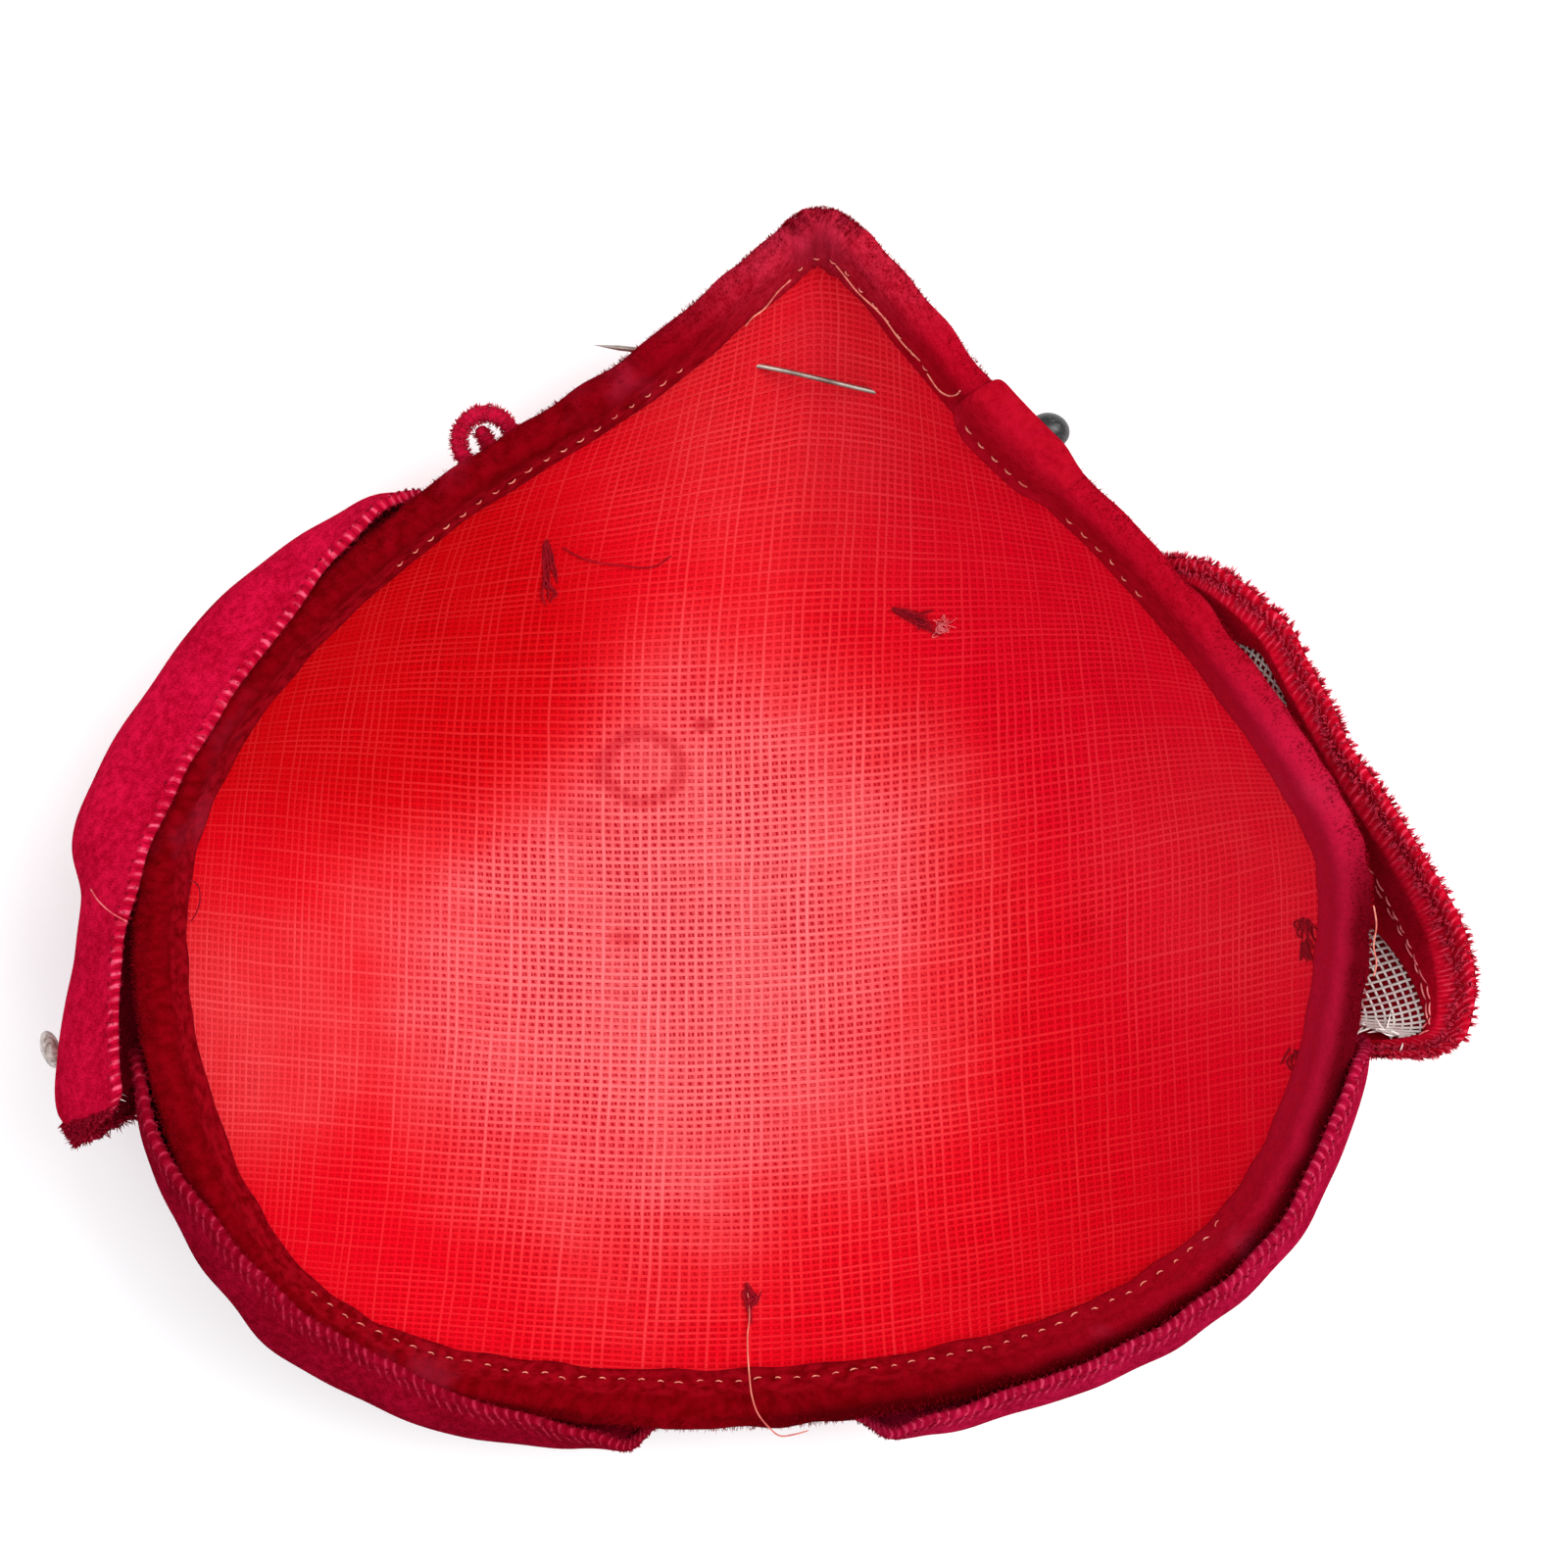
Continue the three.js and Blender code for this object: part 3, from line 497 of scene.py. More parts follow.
# painted highlights on the crowns of some threads, paler where the cloth is paler
painted_glint = long_painted_glint.most(cross_painted_glint * 0.8)
woven = (painted_glint * (1 - dark_blotch) * (0.44 - steep * 0.08)).mix(woven, painted_glint_colour)
ring_at = blot(-20.6, 18.5, 7.0, 6.2) + (ragged - 0.5) * 0.5
ring = (ring_at - 1).one("ABSOLUTE").ramp(0.34, 0.08)
SPOTS = [  # centre and half size in mm, raggedness, where its edge ends and begins, and how dark it is
    ((-9.5, 26, 2.6, 1.8), 0.9, 1.1, 0.4, 1.0), ((-24, -12, 3.4, 2.0), 1.2, 1.2, 0.4, 0.7),
    ((-30, 9, 6, 4), 1.0, 1.2, 0.3, 0.25)]
spots = sum((blot(*oval) + (ragged - 0.5) * raggedness).ramp(edge, core) * strength
            for oval, raggedness, edge, core, strength in SPOTS)
stain = (ring * 0.8 + spots + ring_at.ramp(1.1, 0.4) * 0.25).least(1.0)
relief = upper * 0.6 + lower * 0.35 + ragged * 0.1
feed(weave_shader,
     Base_Color=(stain * 0.6).mix(woven, (0.38, 0.003, 0.014)),
     Roughness=0.75 - upper * 0.15 + stain * 0.1,
     Normal=relief.bump(0.0003, 0.6))

foundation = grid_mesh("foundation_weave", shell, np.concatenate([shell_uv, shell_uv[:1]]), weave,
                       close_rows=True)
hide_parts("foundation")


# ---------------------------------------------------------------- knots in the lining
# The trimmings outside are sewn on through the foundation by hand with crimson cotton. The thread's ends
# are knotted inside, fray out over the buckram and are left long, and one peach tail hangs over the
# binding at the back.
SLANT = unit(np.array([0.31, 0.52, 0.79]))


def tubes(name, paths, radii, sides, material):
    """Many thin closed tubes in one mesh. The paths are (tubes, stations, 3) in mm, and the radii, 0 at
    both ends, are (stations,) or (tubes, stations).

    A ring's corners are centre + radius * (cos * side + sin * top), where side is the path's direction
    crossed with a fixed slant and top is square to both. The uv is the tube's number and the share of the
    way along it."""
    count, stations = paths.shape[:2]
    ahead = unit(np.gradient(paths, axis=1))
    side = unit(np.cross(ahead, SLANT))
    top = np.cross(ahead, side)
    angle = np.arange(sides) / sides * 2 * np.pi
    radii = np.broadcast_to(radii, (count, stations))[..., None, None]
    spoke = np.cos(angle)[:, None] * side[:, :, None] + np.sin(angle)[:, None] * top[:, :, None]
    points = paths[:, :, None] + radii * spoke
    tube, station, corner = np.meshgrid(np.arange(count), np.arange(stations - 1), np.arange(sides),
                                        indexing="ij")
    beside = (corner + 1) % sides
    rings = [(station, corner), (station, beside), (station + 1, beside), (station + 1, corner)]
    faces = np.stack([(tube * stations + s) * sides + c for s, c in rings], -1).reshape(-1, 4)
    face_uv = np.stack([np.stack([tube + 0.5, s / (stations - 1)], -1) for s, _ in rings], -2)
    return finish_mesh(name, points.reshape(-1, 3), faces, face_uv.reshape(-1, 4, 2), material)


def on_lining(xy, lift):
    """Points seen from above at xy, that many mm above the lining."""
    return np.concatenate([xy, (lining_height(xy[..., 0], xy[..., 1]) + lift)[..., None]], -1)


def thread_material(name, deep, light):
    """Sewing thread: fine twist marks along it, and each length its own shade between deep and light."""
    material, shader, uv = new_material(name, Specular_IOR_Level=0.08, Sheen_Weight=0.02, Sheen_Roughness=0.4)
    number, share, _ = uv.parts()
    shade = (number * 1.7).vector(share * 2.0, 0.0).noise(1.0, 2)
    twist = (share * 9 + number * 0.37).one("FRACT").ramp(0.2, 0.8)
    feed(shader, Base_Color=(shade.ramp(0.3, 0.7) * 0.8 + twist * 0.2).mix(deep, light),
         Roughness=0.75 - twist * 0.2, Normal=twist.bump(0.0001, 0.5))
    return material


crimson_thread = thread_material("crimson thread", (0.16, 0.001, 0.006), (0.34, 0.004, 0.016))
peach_thread = thread_material("peach thread", (0.48, 0.06, 0.06), (0.84, 0.34, 0.24))
knot_random = np.random.default_rng(7)


def loose(points, count):
    """A thread's path through a few points (x, y, lift) over the lining, at even shares."""
    points = np.array(points, float)
    flat = through(points, np.linspace(0, 1, count))
    return on_lining(flat[:, :2], flat[:, 2])


FRAY_RADII = np.array([0, 1, 1, 1, 1, 1, 1, 1, 0.8, 0]) * 0.17


def frayed(centre, spread, toward, count):
    """A bundle of short ends that fan out over the lining from one stitch: each is a straight line with
    half a sine wave of its own added to it sideways."""
    start = np.array(centre) + knot_random.normal(0, 0.25, (count, 2))
    reach = np.array(toward) * knot_random.uniform(0.55, 1.1, (count, 1))
    end = start + reach + knot_random.normal(0, spread, (count, 2))
    bend = knot_random.normal(0, spread * 0.6, (count, 1, 2))
    share = np.linspace(0, 1, len(FRAY_RADII))[:, None]
    flat = start[:, None] * (1 - share) + end[:, None] * share + bend * np.sin(np.pi * share)
    lift = knot_random.uniform(0.25, 0.9, (count, 1)) * np.ones(len(FRAY_RADII))
    return on_lining(flat, lift)


KNOTS = [  # where each stitch comes through, its ends' spread, the way they lie and how many they are
    ((24.0, 46.4), 0.9, (8.2, -3.0), 9), ((27.5, 44.8), 0.8, (4.5, -1.2), 8),
    ((-36.0, 57.2), 0.7, (0.6, -6.5), 7), ((-36.6, 51.0), 1.0, (1.5, -2.6), 7),
    ((-1.5, -71.4), 0.9, (1.2, -3.6), 9), ((-1.2, -74.4), 1.1, (1.0, 1.5), 8),
    ((89.6, -6.5), 0.9, (0.8, -3.4), 12), ((89.4, -9.8), 1.0, (0.5, -3.4), 10),
    ((87.6, -27.5), 1.0, (0.3, -4.2), 9), ((-92.4, 0.5), 0.8, (0.8, -2.5), 4)]
knot_ends = np.concatenate([frayed(*knot) for knot in KNOTS])
lining_knots = tubes("lining_knots", knot_ends, FRAY_RADII, 5, crimson_thread)

fluff = thread_material("rose fluff", (0.62, 0.05, 0.08), (0.90, 0.30, 0.30))
fuzz = tubes("lining_knot_fuzz", frayed((32.2, 43.4), 1.0, (1.6, -0.6), 26), FRAY_RADII * 0.45, 4, fluff)

TAIL_STATIONS = 60
TAIL_RADII = np.concatenate([[0], np.ones(TAIL_STATIONS - 2), [0]])
CRIMSON_TAILS = [
    [(-33.2, 56.2, 0.5), (-30, 54.6, 0.7), (-24, 53.7, 0.9), (-18, 53.6, 0.7), (-14.7, 55.6, 0.4)],
    [(-35.6, 57.5, 0.5), (-34.8, 54, 0.8), (-36.6, 51.5, 0.6), (-35.2, 49, 0.8), (-35.8, 47, 0.4)]]
tail_paths = np.stack([loose(tail, TAIL_STATIONS) for tail in CRIMSON_TAILS])
crimson_tails = tubes("lining_thread_tails", tail_paths, TAIL_RADII * 0.13, 6, crimson_thread)

# the peach tail lies on the lining first, and then climbs over the binding at the back
ON_LINING_STATIONS = 20
OVER_BACK = np.array([
    (-1.2, -81.0, 33.2), (-0.9, -84.0, 36.4), (-0.4, -87.0, 40.2), (0.6, -89.6, 41.6), (2.6, -92.2, 41.0),
    (4.4, -93.8, 39.4), (6.6, -93.6, 39.2), (9.2, -92.6, 40.6)])
peach_tail_path = np.concatenate([
    loose([(-1.4, -72, 0.4), (-1.0, -76.0, 0.9), (-1.3, -79.0, 1.2)], ON_LINING_STATIONS),
    through(OVER_BACK, np.linspace(0, 1, TAIL_STATIONS - ON_LINING_STATIONS))])
peach_tail = tubes("lining_peach_tail", peach_tail_path[None], TAIL_RADII * 0.14, 6, peach_thread)


# ---------------------------------------------------------------- crown cover
# The outside of the crown is covered with one piece of rose velvet, drawn smooth over the foundation and
# tacked at its edge, where the binding hides the tacks.
MIDDLE_LEAN = 0.51


def velvet(name, deep, light, sheen=0.04, grain=0.15):
    """Velvet on a uv map in mm. Its pile leans by patches, specks and fibres, three noises that grow
    finer, and its colour turns from deep to light within grain of the middle lean. Returns the material,
    its shader, its uv, the lean, the colour and the height."""
    material, shader, uv = new_material(name, Specular_IOR_Level=0.0, Sheen_Weight=sheen,
                                        Sheen_Roughness=0.5, Sheen_Tint=(1.0, 0.12, 0.25, 1))
    patches = uv.noise(0.11, 4)
    specks = uv.noise(0.75, 3)
    fibres = uv.noise(2.6, 2, stretch=(0.6, 1.6, 1))
    lean = patches * 0.3 + specks * 0.45 + fibres * 0.4 - 0.075
    height = specks * 0.5 + fibres * 0.5
    shade = lean.ramp(MIDDLE_LEAN - grain, MIDDLE_LEAN + grain).mix(deep, light)
    return material, shader, uv, lean, shade, height


cover_velvet, cover_shader, uv, lean, shade, height = velvet(
    "rose velvet", (0.22, 0.001, 0.010), (0.46, 0.010, 0.045))
feed(cover_shader, Base_Color=shade, Roughness=0.95 - lean * 0.15, Normal=height.bump(0.0004, 0.7))

cover_around = np.linspace(0, 1, 241)[:-1, None]
cover_shares, cover_offsets = wall_lines(0.12, 34, 12, COVER_OUTSIDE, COVER_INSIDE)
cover_points = shell_point(cover_around, cover_shares, cover_offsets)
cover_uv = cover_points[..., :2] * (1 + 0.35 * cover_shares[..., None] ** 2)
cover = grid_mesh("crown_cover_velvet", cover_points, np.concatenate([cover_uv, cover_uv[:1]]),
                  cover_velvet, close_rows=True)
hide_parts("crown_cover")


# ---------------------------------------------------------------- rim binding
# A bias strip of dark crimson velvet is folded over the edge and machine-stitched through. It bulges
# between the stitches, is thick at the point, and its pile stands out all along the fold.
BINDING_THICKNESS = 1.1
INSIDE_LEG, OUTSIDE_LEG = 8.2, 6.0
INNER_FACE = FOLD_TOP = -GAP - BINDING_THICKNESS
OUTER_BACK = COVER_OUTSIDE + GAP
OUTER_FACE = OUTER_BACK + BINDING_THICKNESS
OVER_FOLD = [  # mm below the edge and mm outside the lining, from the outside over the fold
    (0, OUTER_FACE), (FOLD_TOP, OUTER_FACE * 0.72), (FOLD_TOP - 0.1, OUTER_FACE * 0.3),
    (FOLD_TOP, INNER_FACE * 0.2)]
BINDING_PROFILE = np.array([
    (OUTSIDE_LEG, OUTER_FACE - 0.1), (OUTSIDE_LEG * 0.5, OUTER_FACE), *OVER_FOLD, (0, INNER_FACE),
    (INSIDE_LEG * 0.5, INNER_FACE), (INSIDE_LEG, INNER_FACE + 0.1), (INSIDE_LEG + 0.1, -GAP - 0.2),
    (INSIDE_LEG * 0.5, -GAP), (0, -GAP), (-GAP, COVER_OUTSIDE * 0.5), (0, OUTER_BACK),
    (OUTSIDE_LEG * 0.5, OUTER_BACK), (OUTSIDE_LEG + 0.1, OUTER_BACK + 0.2)])
BINDING_ROWS, BINDING_COLUMNS = 640, 48


def lumps(around, counts, seed):
    """Gentle unevenness of about -1 to 1 along a closed line: 1.4 times the mean of sines with those
    counts of waves round it."""
    phases = np.random.default_rng(seed).uniform(0, 1, len(counts))
    waves = [np.sin(2 * np.pi * (count * around + phase)) for count, phase in zip(counts, phases)]
    return sum(waves) / len(waves) * 1.4


def length_to(points):
    """The length of a line from its first point to each of its points."""
    return np.concatenate([[0], np.cumsum(np.linalg.norm(np.diff(points, axis=0), axis=1))])


turn = np.linspace(0, 1, BINDING_ROWS + 1)[:-1, None]
profile = through(BINDING_PROFILE, np.linspace(0, 1, BINDING_COLUMNS + 1)[:-1], closed=True)
inside = np.clip(-profile[:, 1] / 1.4, 0, 1)
outside = np.clip((profile[:, 1] - 2.5) / 1.4, 0, 1)
leg = np.clip(profile[:, 0] / INSIDE_LEG, 0, 1)
uneven_hem = 0.55 * lumps(turn, (17, 29, 43, 61), 1) * leg * inside
uneven_fold = 0.3 * lumps(turn, (37, 53, 71), 2) * (1 - leg)
down = profile[:, 0] + uneven_hem + uneven_fold
swell = 0.16 * lumps(turn, (31, 47, 67, 96), 3) * np.sin(np.pi * np.clip(leg * 0.9 + 0.05, 0, 1))
puff = 0.3 * lumps(turn, (41, 59, 83), 4) + 0.15
offset = profile[:, 1] - inside * (swell + 0.12) + outside * puff
binding_points = rim_point(turn, down, offset)
round_rim = np.linspace(0, length_to(rim_samples)[-1], BINDING_ROWS + 1)[:, None]
round_profile = length_to(np.concatenate([profile, profile[:1]]))
binding_uv = np.stack(np.broadcast_arrays(round_rim, round_profile), -1)

binding_velvet, binding_shader, uv, lean, shade, height = velvet(
    "crimson velvet", (0.22, 0.0005, 0.004), (0.38, 0.003, 0.017), sheen=0.02, grain=0.26)
place = uv.on_object()
dusty = place.noise(42, 4).ramp(0.60, 0.76) * 0.3
x, y, _ = place.parts()
_, over, _ = uv.parts()
to_right = x + y * 0.3
away_from_left_and_back = to_right.ramp(-0.010, 0.060)
tip = y.ramp(0.086, 0.102)
streak = uv.noise(0.45, 3, stretch=(0.8, 1.4, 1)).ramp(0.3, 0.7)
left_and_back_mottle = (streak * 0.35 + lean * 0.65).ramp(0.2, 0.8)
# the binding is darker on the left and at the back, mottled by streaks and by the lean
shade = away_from_left_and_back.mix(left_and_back_mottle.mix((0.105, 0.0002, 0.0012), (0.19, 0.0006, 0.004)), shade)
shade = (tip * 0.7).mix(shade, lean.ramp(0.36, 0.66).mix((0.22, 0.002, 0.008), (0.52, 0.020, 0.050)))
catching_light = to_right.ramp(0.05, 0.09) * y.ramp(0.045, 0.015) * 0.35
shade = catching_light.mix(shade, (0.50, 0.012, 0.060))
# painted shadow of the back right petal over the binding's outer half
painted_petal_shadow = ((x - y) * 0.7).ramp(0.058, 0.072) * over.ramp(13.2, 9.5)
shade = (painted_petal_shadow * 0.85).mix(shade, (0.045, 0.0002, 0.0008))
# a painted sheen in patches on the lower part of the binding's inner leg
painted_sheen_on_edge = over.ramp(14.0, 15.5) * uv.noise(0.5, 2).ramp(0.35, 0.65) * 0.4
shade = painted_sheen_on_edge.mix(shade, (0.40, 0.004, 0.014))
feed(binding_shader, Base_Color=dusty.mix(shade, (0.38, 0.020, 0.055)), Roughness=0.95 - lean * 0.2,
     Normal=height.bump(0.0004, 0.8))
binding = grid_mesh("rim_binding_velvet", binding_points, binding_uv, binding_velvet,
                    close_rows=True, close_columns=True)
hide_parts("rim_binding")


def pile_material(name, deep, light):
    """Tufts of pile: painted shade at the root and a painted highlight toward the tip, each tuft with its own
    tone.
    """
    material, shader, uv = new_material(name, Specular_IOR_Level=0.0)
    number, share, _ = uv.parts()
    own = (number * 1.37).vector(0.3, 0.0).noise(1.0, 2)
    root_shade_and_tip_highlight = (share * 0.7 + (own - 0.5) * 1.6).ramp(0.1, 0.9)
    feed(shader, Base_Color=root_shade_and_tip_highlight.mix(deep, light), Roughness=0.9 - share * 0.1)
    return material


BINDING_TUFTS, BINDING_PILE_LENGTH = 16000, 0.7
TUFT_RADII = np.array([0, 1, 0.75, 0])
TUFT_SHARE = np.linspace(0, 1, len(TUFT_RADII))[:, None]


def tufts(roots, directions, length, droop, seed):
    """Paths of short pile: root + direction * length * share + a random bend of droop * share squared."""
    random = np.random.default_rng(seed)
    count = len(roots)
    reach = directions * (length * random.uniform(0.65, 1.2, (count, 1)))
    bend = random.normal(0, 1, (count, 3)) * droop
    return roots[:, None] + reach[:, None] * TUFT_SHARE + bend[:, None] * TUFT_SHARE ** 2


PILE_SHARES = [0, 0.35, 0.7, 0.9, 1]
PILE_LINE = np.array([(2.5, OUTER_FACE), *OVER_FOLD])
tuft_random = np.random.default_rng(11)
tuft_turn = tuft_random.uniform(0, 1, BINDING_TUFTS)
over_fold = tuft_random.uniform(0, 1, BINDING_TUFTS)
tuft_down, tuft_offset = (np.interp(over_fold, PILE_SHARES, column) for column in PILE_LINE.T)
tuft_roots = rim_point(tuft_turn, tuft_down, tuft_offset - 0.1)
tuft_out = unit(rim_point(tuft_turn, tuft_down, tuft_offset + 1) - tuft_roots)
tuft_up = unit(rim_point(tuft_turn, tuft_down - 1, tuft_offset) - tuft_roots)
tuft_way = unit(tuft_out * (1.1 - over_fold)[:, None] + tuft_up * (0.15 + over_fold)[:, None])
crimson_pile = pile_material("crimson pile", (0.13, 0.0003, 0.002), (0.36, 0.003, 0.014))
pile_paths = tufts(tuft_roots, tuft_way, BINDING_PILE_LENGTH, 0.2, 12)
binding_pile = tubes("rim_binding_pile", pile_paths, TUFT_RADII * 0.06, 3, crimson_pile)


STITCH_RADII = np.array([0, 0.9, 1, 1, 0.9, 0])


def stitched(at, step_share, lift):
    """One stitch from each point of a line to step_share of the way to the next, a little uneven. It is
    bowed by half a sine wave along lift (count, 3), and both of its ends dip below the line by a quarter
    of that."""
    uneven = np.random.default_rng(len(at)).uniform(0.75, 1.2, (len(at) - 1, 1))
    start, end = at[:-1], at[:-1] + (at[1:] - at[:-1]) * step_share * uneven
    share = np.linspace(0, 1, len(STITCH_RADII))[:, None]
    bow = lift[:-1, None] * (np.sin(np.pi * share) - 0.25)
    return start[:, None] * (1 - share) + end[:, None] * share + bow


STITCH_PITCH = 3.3
STITCH_RUNS = [(-8.5, -52, 4.3), (3.5, 22, 4.4), (41, 56, 4.4), (126, 230, 4.9)]  # two bearings and a depth


def binding_stitches(first, last, depth, seed):
    """The machine stitches of one run along the binding's inner leg, between two bearings, a little
    uneven."""
    line = around_at(np.linspace(first, last, 400))
    run = length_to(rim_point(line, depth, INNER_FACE - 0.35))
    at = np.arange(0, run[-1], STITCH_PITCH)
    around = np.interp(at, run, line)
    wander = np.random.default_rng(seed).normal(0, 0.34, len(at))
    points = rim_point(around, depth + wander, INNER_FACE - 0.42)
    lift = (rim_point(around, depth, INNER_FACE - 1.4) - rim_point(around, depth, INNER_FACE - 0.4)) * 0.35
    return stitched(points, 0.45, lift)


machine_stitches = np.concatenate([binding_stitches(*run, n) for n, run in enumerate(STITCH_RUNS)])
binding_thread = tubes("rim_binding_stitches", machine_stitches, STITCH_RADII * 0.12, 6, peach_thread)
# the seam's slack beside the point and its end at the lap, as bearing, depth and height over the inner leg
LOOSE_ENDS = [
    [(-1.6, 7.4, 0.5), (-0.9, 6.0, 0.9), (0.3, 6.8, 0.7), (1.6, 5.0, 0.9), (3.0, 5.6, 0.4)],
    [(8.0, 4.6, 0.4), (10.5, 5.2, 0.9), (13.5, 4.2, 0.8), (16.0, 5.0, 0.6), (18.5, 4.2, 0.5)],
    [(19.5, 5.0, 0.5), (21.3, 4.6, 1.0), (22.6, 3.0, 1.2), (23.4, 0.8, 1.0), (23.6, -1.2, 0.9)],
    [(92.2, -1.4, -5.0), (94.0, -1.4, -5.6), (95.9, -1.2, -5.5), (97.5, -1.0, -6.4), (98.8, -0.6, -6.4)]]
CURLED_END = [(-89.7, 6.0, 0.6), (-90.1, 8.2, 1.0), (-91.0, 9.8, 1.0), (-92.0, 10.2, 1.0),
              (-93.2, 9.6, 0.8), (-94.1, 8.6, 0.4)]


def over_binding(end):
    """A loose thread's path through a few points given as such bearings, depths and heights."""
    bearing, depth, height = through(np.array(end), np.linspace(0, 1, TAIL_STATIONS)).T
    return rim_point(around_at(bearing), depth, INNER_FACE - height)


loose_ends = np.stack([over_binding(end) for end in LOOSE_ENDS])
loose_thread = tubes("rim_binding_loose_thread", loose_ends, TAIL_RADII * 0.14, 6, peach_thread)
curled_thread = tubes("rim_binding_curled_thread", over_binding(CURLED_END)[None], TAIL_RADII * 0.13, 6,
                      crimson_thread)


# ---------------------------------------------------------------- binding lap
# The velvet strip's free end lies over its start on the right. Its corner is rounded and turned under,
# and it is stitched down through the binding with a few peach stitches along its lower edge.
LAP_THICKNESS = 1.0
LAP_ROOM = 1.5 * GAP + LAP_THICKNESS / 2
LAP_DEPTH, LAP_OUTSIDE_DEPTH = 9.2, 3.4
LAP_PATH = np.array([
    (LAP_DEPTH, INNER_FACE - LAP_ROOM), (LAP_DEPTH / 2, INNER_FACE - LAP_ROOM), (0, INNER_FACE - LAP_ROOM),
    (FOLD_TOP - LAP_ROOM, INNER_FACE + LAP_ROOM / 2), (FOLD_TOP - LAP_ROOM, OUTER_FACE - LAP_ROOM / 2),
    (0, OUTER_FACE + LAP_ROOM), (LAP_OUTSIDE_DEPTH, OUTER_FACE + LAP_ROOM)])
LAP_START, LAP_SLANT, LAP_END = 24.0, 1.7, 39.0  # degrees
LAP_CORNER, MERGE_FROM, LAP_SINK = 0.2, 0.66, 1.25  # two shares of its length, and mm into the binding


def quarter_round(distance):
    """The height of a border rounded as a quarter circle: 0 at its edge, 1 from a distance of 1."""
    return np.sqrt(1 - (1 - np.minimum(distance, 1)) ** 2)


def smooth_step(value):
    """3 x squared - 2 x cubed, between 0 and 1."""
    value = np.clip(value, 0, 1)
    return value**2 * (3 - 2 * value)


def crowded(count):
    """Shares from 0 to 1 that lie close together at both ends: (1 - cos) / 2 over half a turn."""
    return (1 - np.cos(np.pi * np.linspace(0, 1, count))) / 2


def both_faces(count):
    """Those shares up one face and back down the other, and +1 or -1 for the face."""
    up = crowded(count)
    return np.concatenate([up, up[-2:0:-1]]), np.repeat([1.0, -1.0], [count, count - 2])


def lap_place(a, b):
    """The lap's middle as (around, down, offset): a runs from its cut end to where it merges with the
    binding, b over the edge from the hollow to the outside. The corner in the hollow is a quarter circle
    a fifth of its length long."""
    lost = 0.22 * (1 - quarter_round(a / LAP_CORNER)) + 0.08 * a**3
    path = through(LAP_PATH, lost + (1 - lost) * b)
    around = around_at(LAP_START + LAP_SLANT * b + (LAP_END - LAP_START - LAP_SLANT * b) * a)
    return around, path[..., 0], path[..., 1]


def lap_middle(a, b):
    """The lap's middle in mm."""
    return rim_point(*lap_place(a, b))


def directions(surface, a, b, step):
    """The steps that a surface takes along a and along b, from step before to step after, within 0 and 1."""
    along = surface(np.minimum(a + step, 1), b) - surface(np.maximum(a - step, 0), b)
    across = surface(a, np.minimum(b + step, 1)) - surface(a, np.maximum(b - step, 0))
    return along, across


def lap_point(a, b, side):
    """The lap's face: side is +1 away from the binding and -1 against it. Its borders are rounded, its
    lower edge in the hollow curls up a little, and its far end sinks into the binding, where the strip
    runs on."""
    a, b, side = np.broadcast_arrays(a, b, side)
    middle = lap_middle(a, b)
    normal = unit(np.cross(*directions(lap_middle, a, b, 0.01)))
    outer = np.sign((normal * (middle - rim_point(lap_place(a, b)[0], 3.0, 1.5))).sum(-1))
    border = np.minimum(np.minimum(b, 1 - b) / 0.05, np.minimum(a, 1 - a) / 0.06)
    thick = LAP_THICKNESS / 2 * quarter_round(border)
    curl = 0.5 * np.exp(-((b - 0.04) / 0.05) ** 2) * (side > 0)
    sunk = LAP_SINK * smooth_step((a - MERGE_FROM) / (1 - MERGE_FROM))
    return middle + normal * (outer * (side * thick + curl - sunk))[..., None]


LAP_ALONG, LAP_ACROSS, LAP_CUT_FROM = 22, 21, 40  # its cloth's size and where on the velvet it is cut, in mm
lap_a = crowded(80)
lap_b, lap_side = both_faces(60)
lap_points = lap_point(lap_a[:, None], lap_b[None], lap_side[None])
lap_across = np.concatenate([lap_b * LAP_ACROSS, [0]])[None] + LAP_CUT_FROM
lap_uv = np.stack(np.broadcast_arrays(lap_a[:, None] * LAP_ALONG, lap_across), -1)
lap = grid_mesh("binding_lap_velvet", lap_points, lap_uv, binding_velvet, close_columns=True)
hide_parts("binding_lap")
lap_line, LAP_SEAM = np.linspace(0.10, 0.80, 6), 0.14
lap_track = lap_point(lap_line, LAP_SEAM, 1.0)
lap_out = unit(lap_track - rim_point(lap_place(lap_line, LAP_SEAM)[0], 6.0, 2.0))
lap_thread = tubes("binding_lap_stitches", stitched(lap_track, 0.62, lap_out * 0.35), STITCH_RADII * 0.16, 6,
                   peach_thread)


# ---------------------------------------------------------------- petals
# Four petals of ribbed rose velvet ribbon, each folded double lengthwise and sewn round the crown by its
# raw edge, so that the fold stands free. The pile of the ribs opens along the fold into a row of little
# tufts.
PETAL_THICKNESS = 2.0
HIP_SHARE, CORNER_DEPTH = 0.5, 0.4  # how far up the wall the hip is, and how much of a section a corner loses
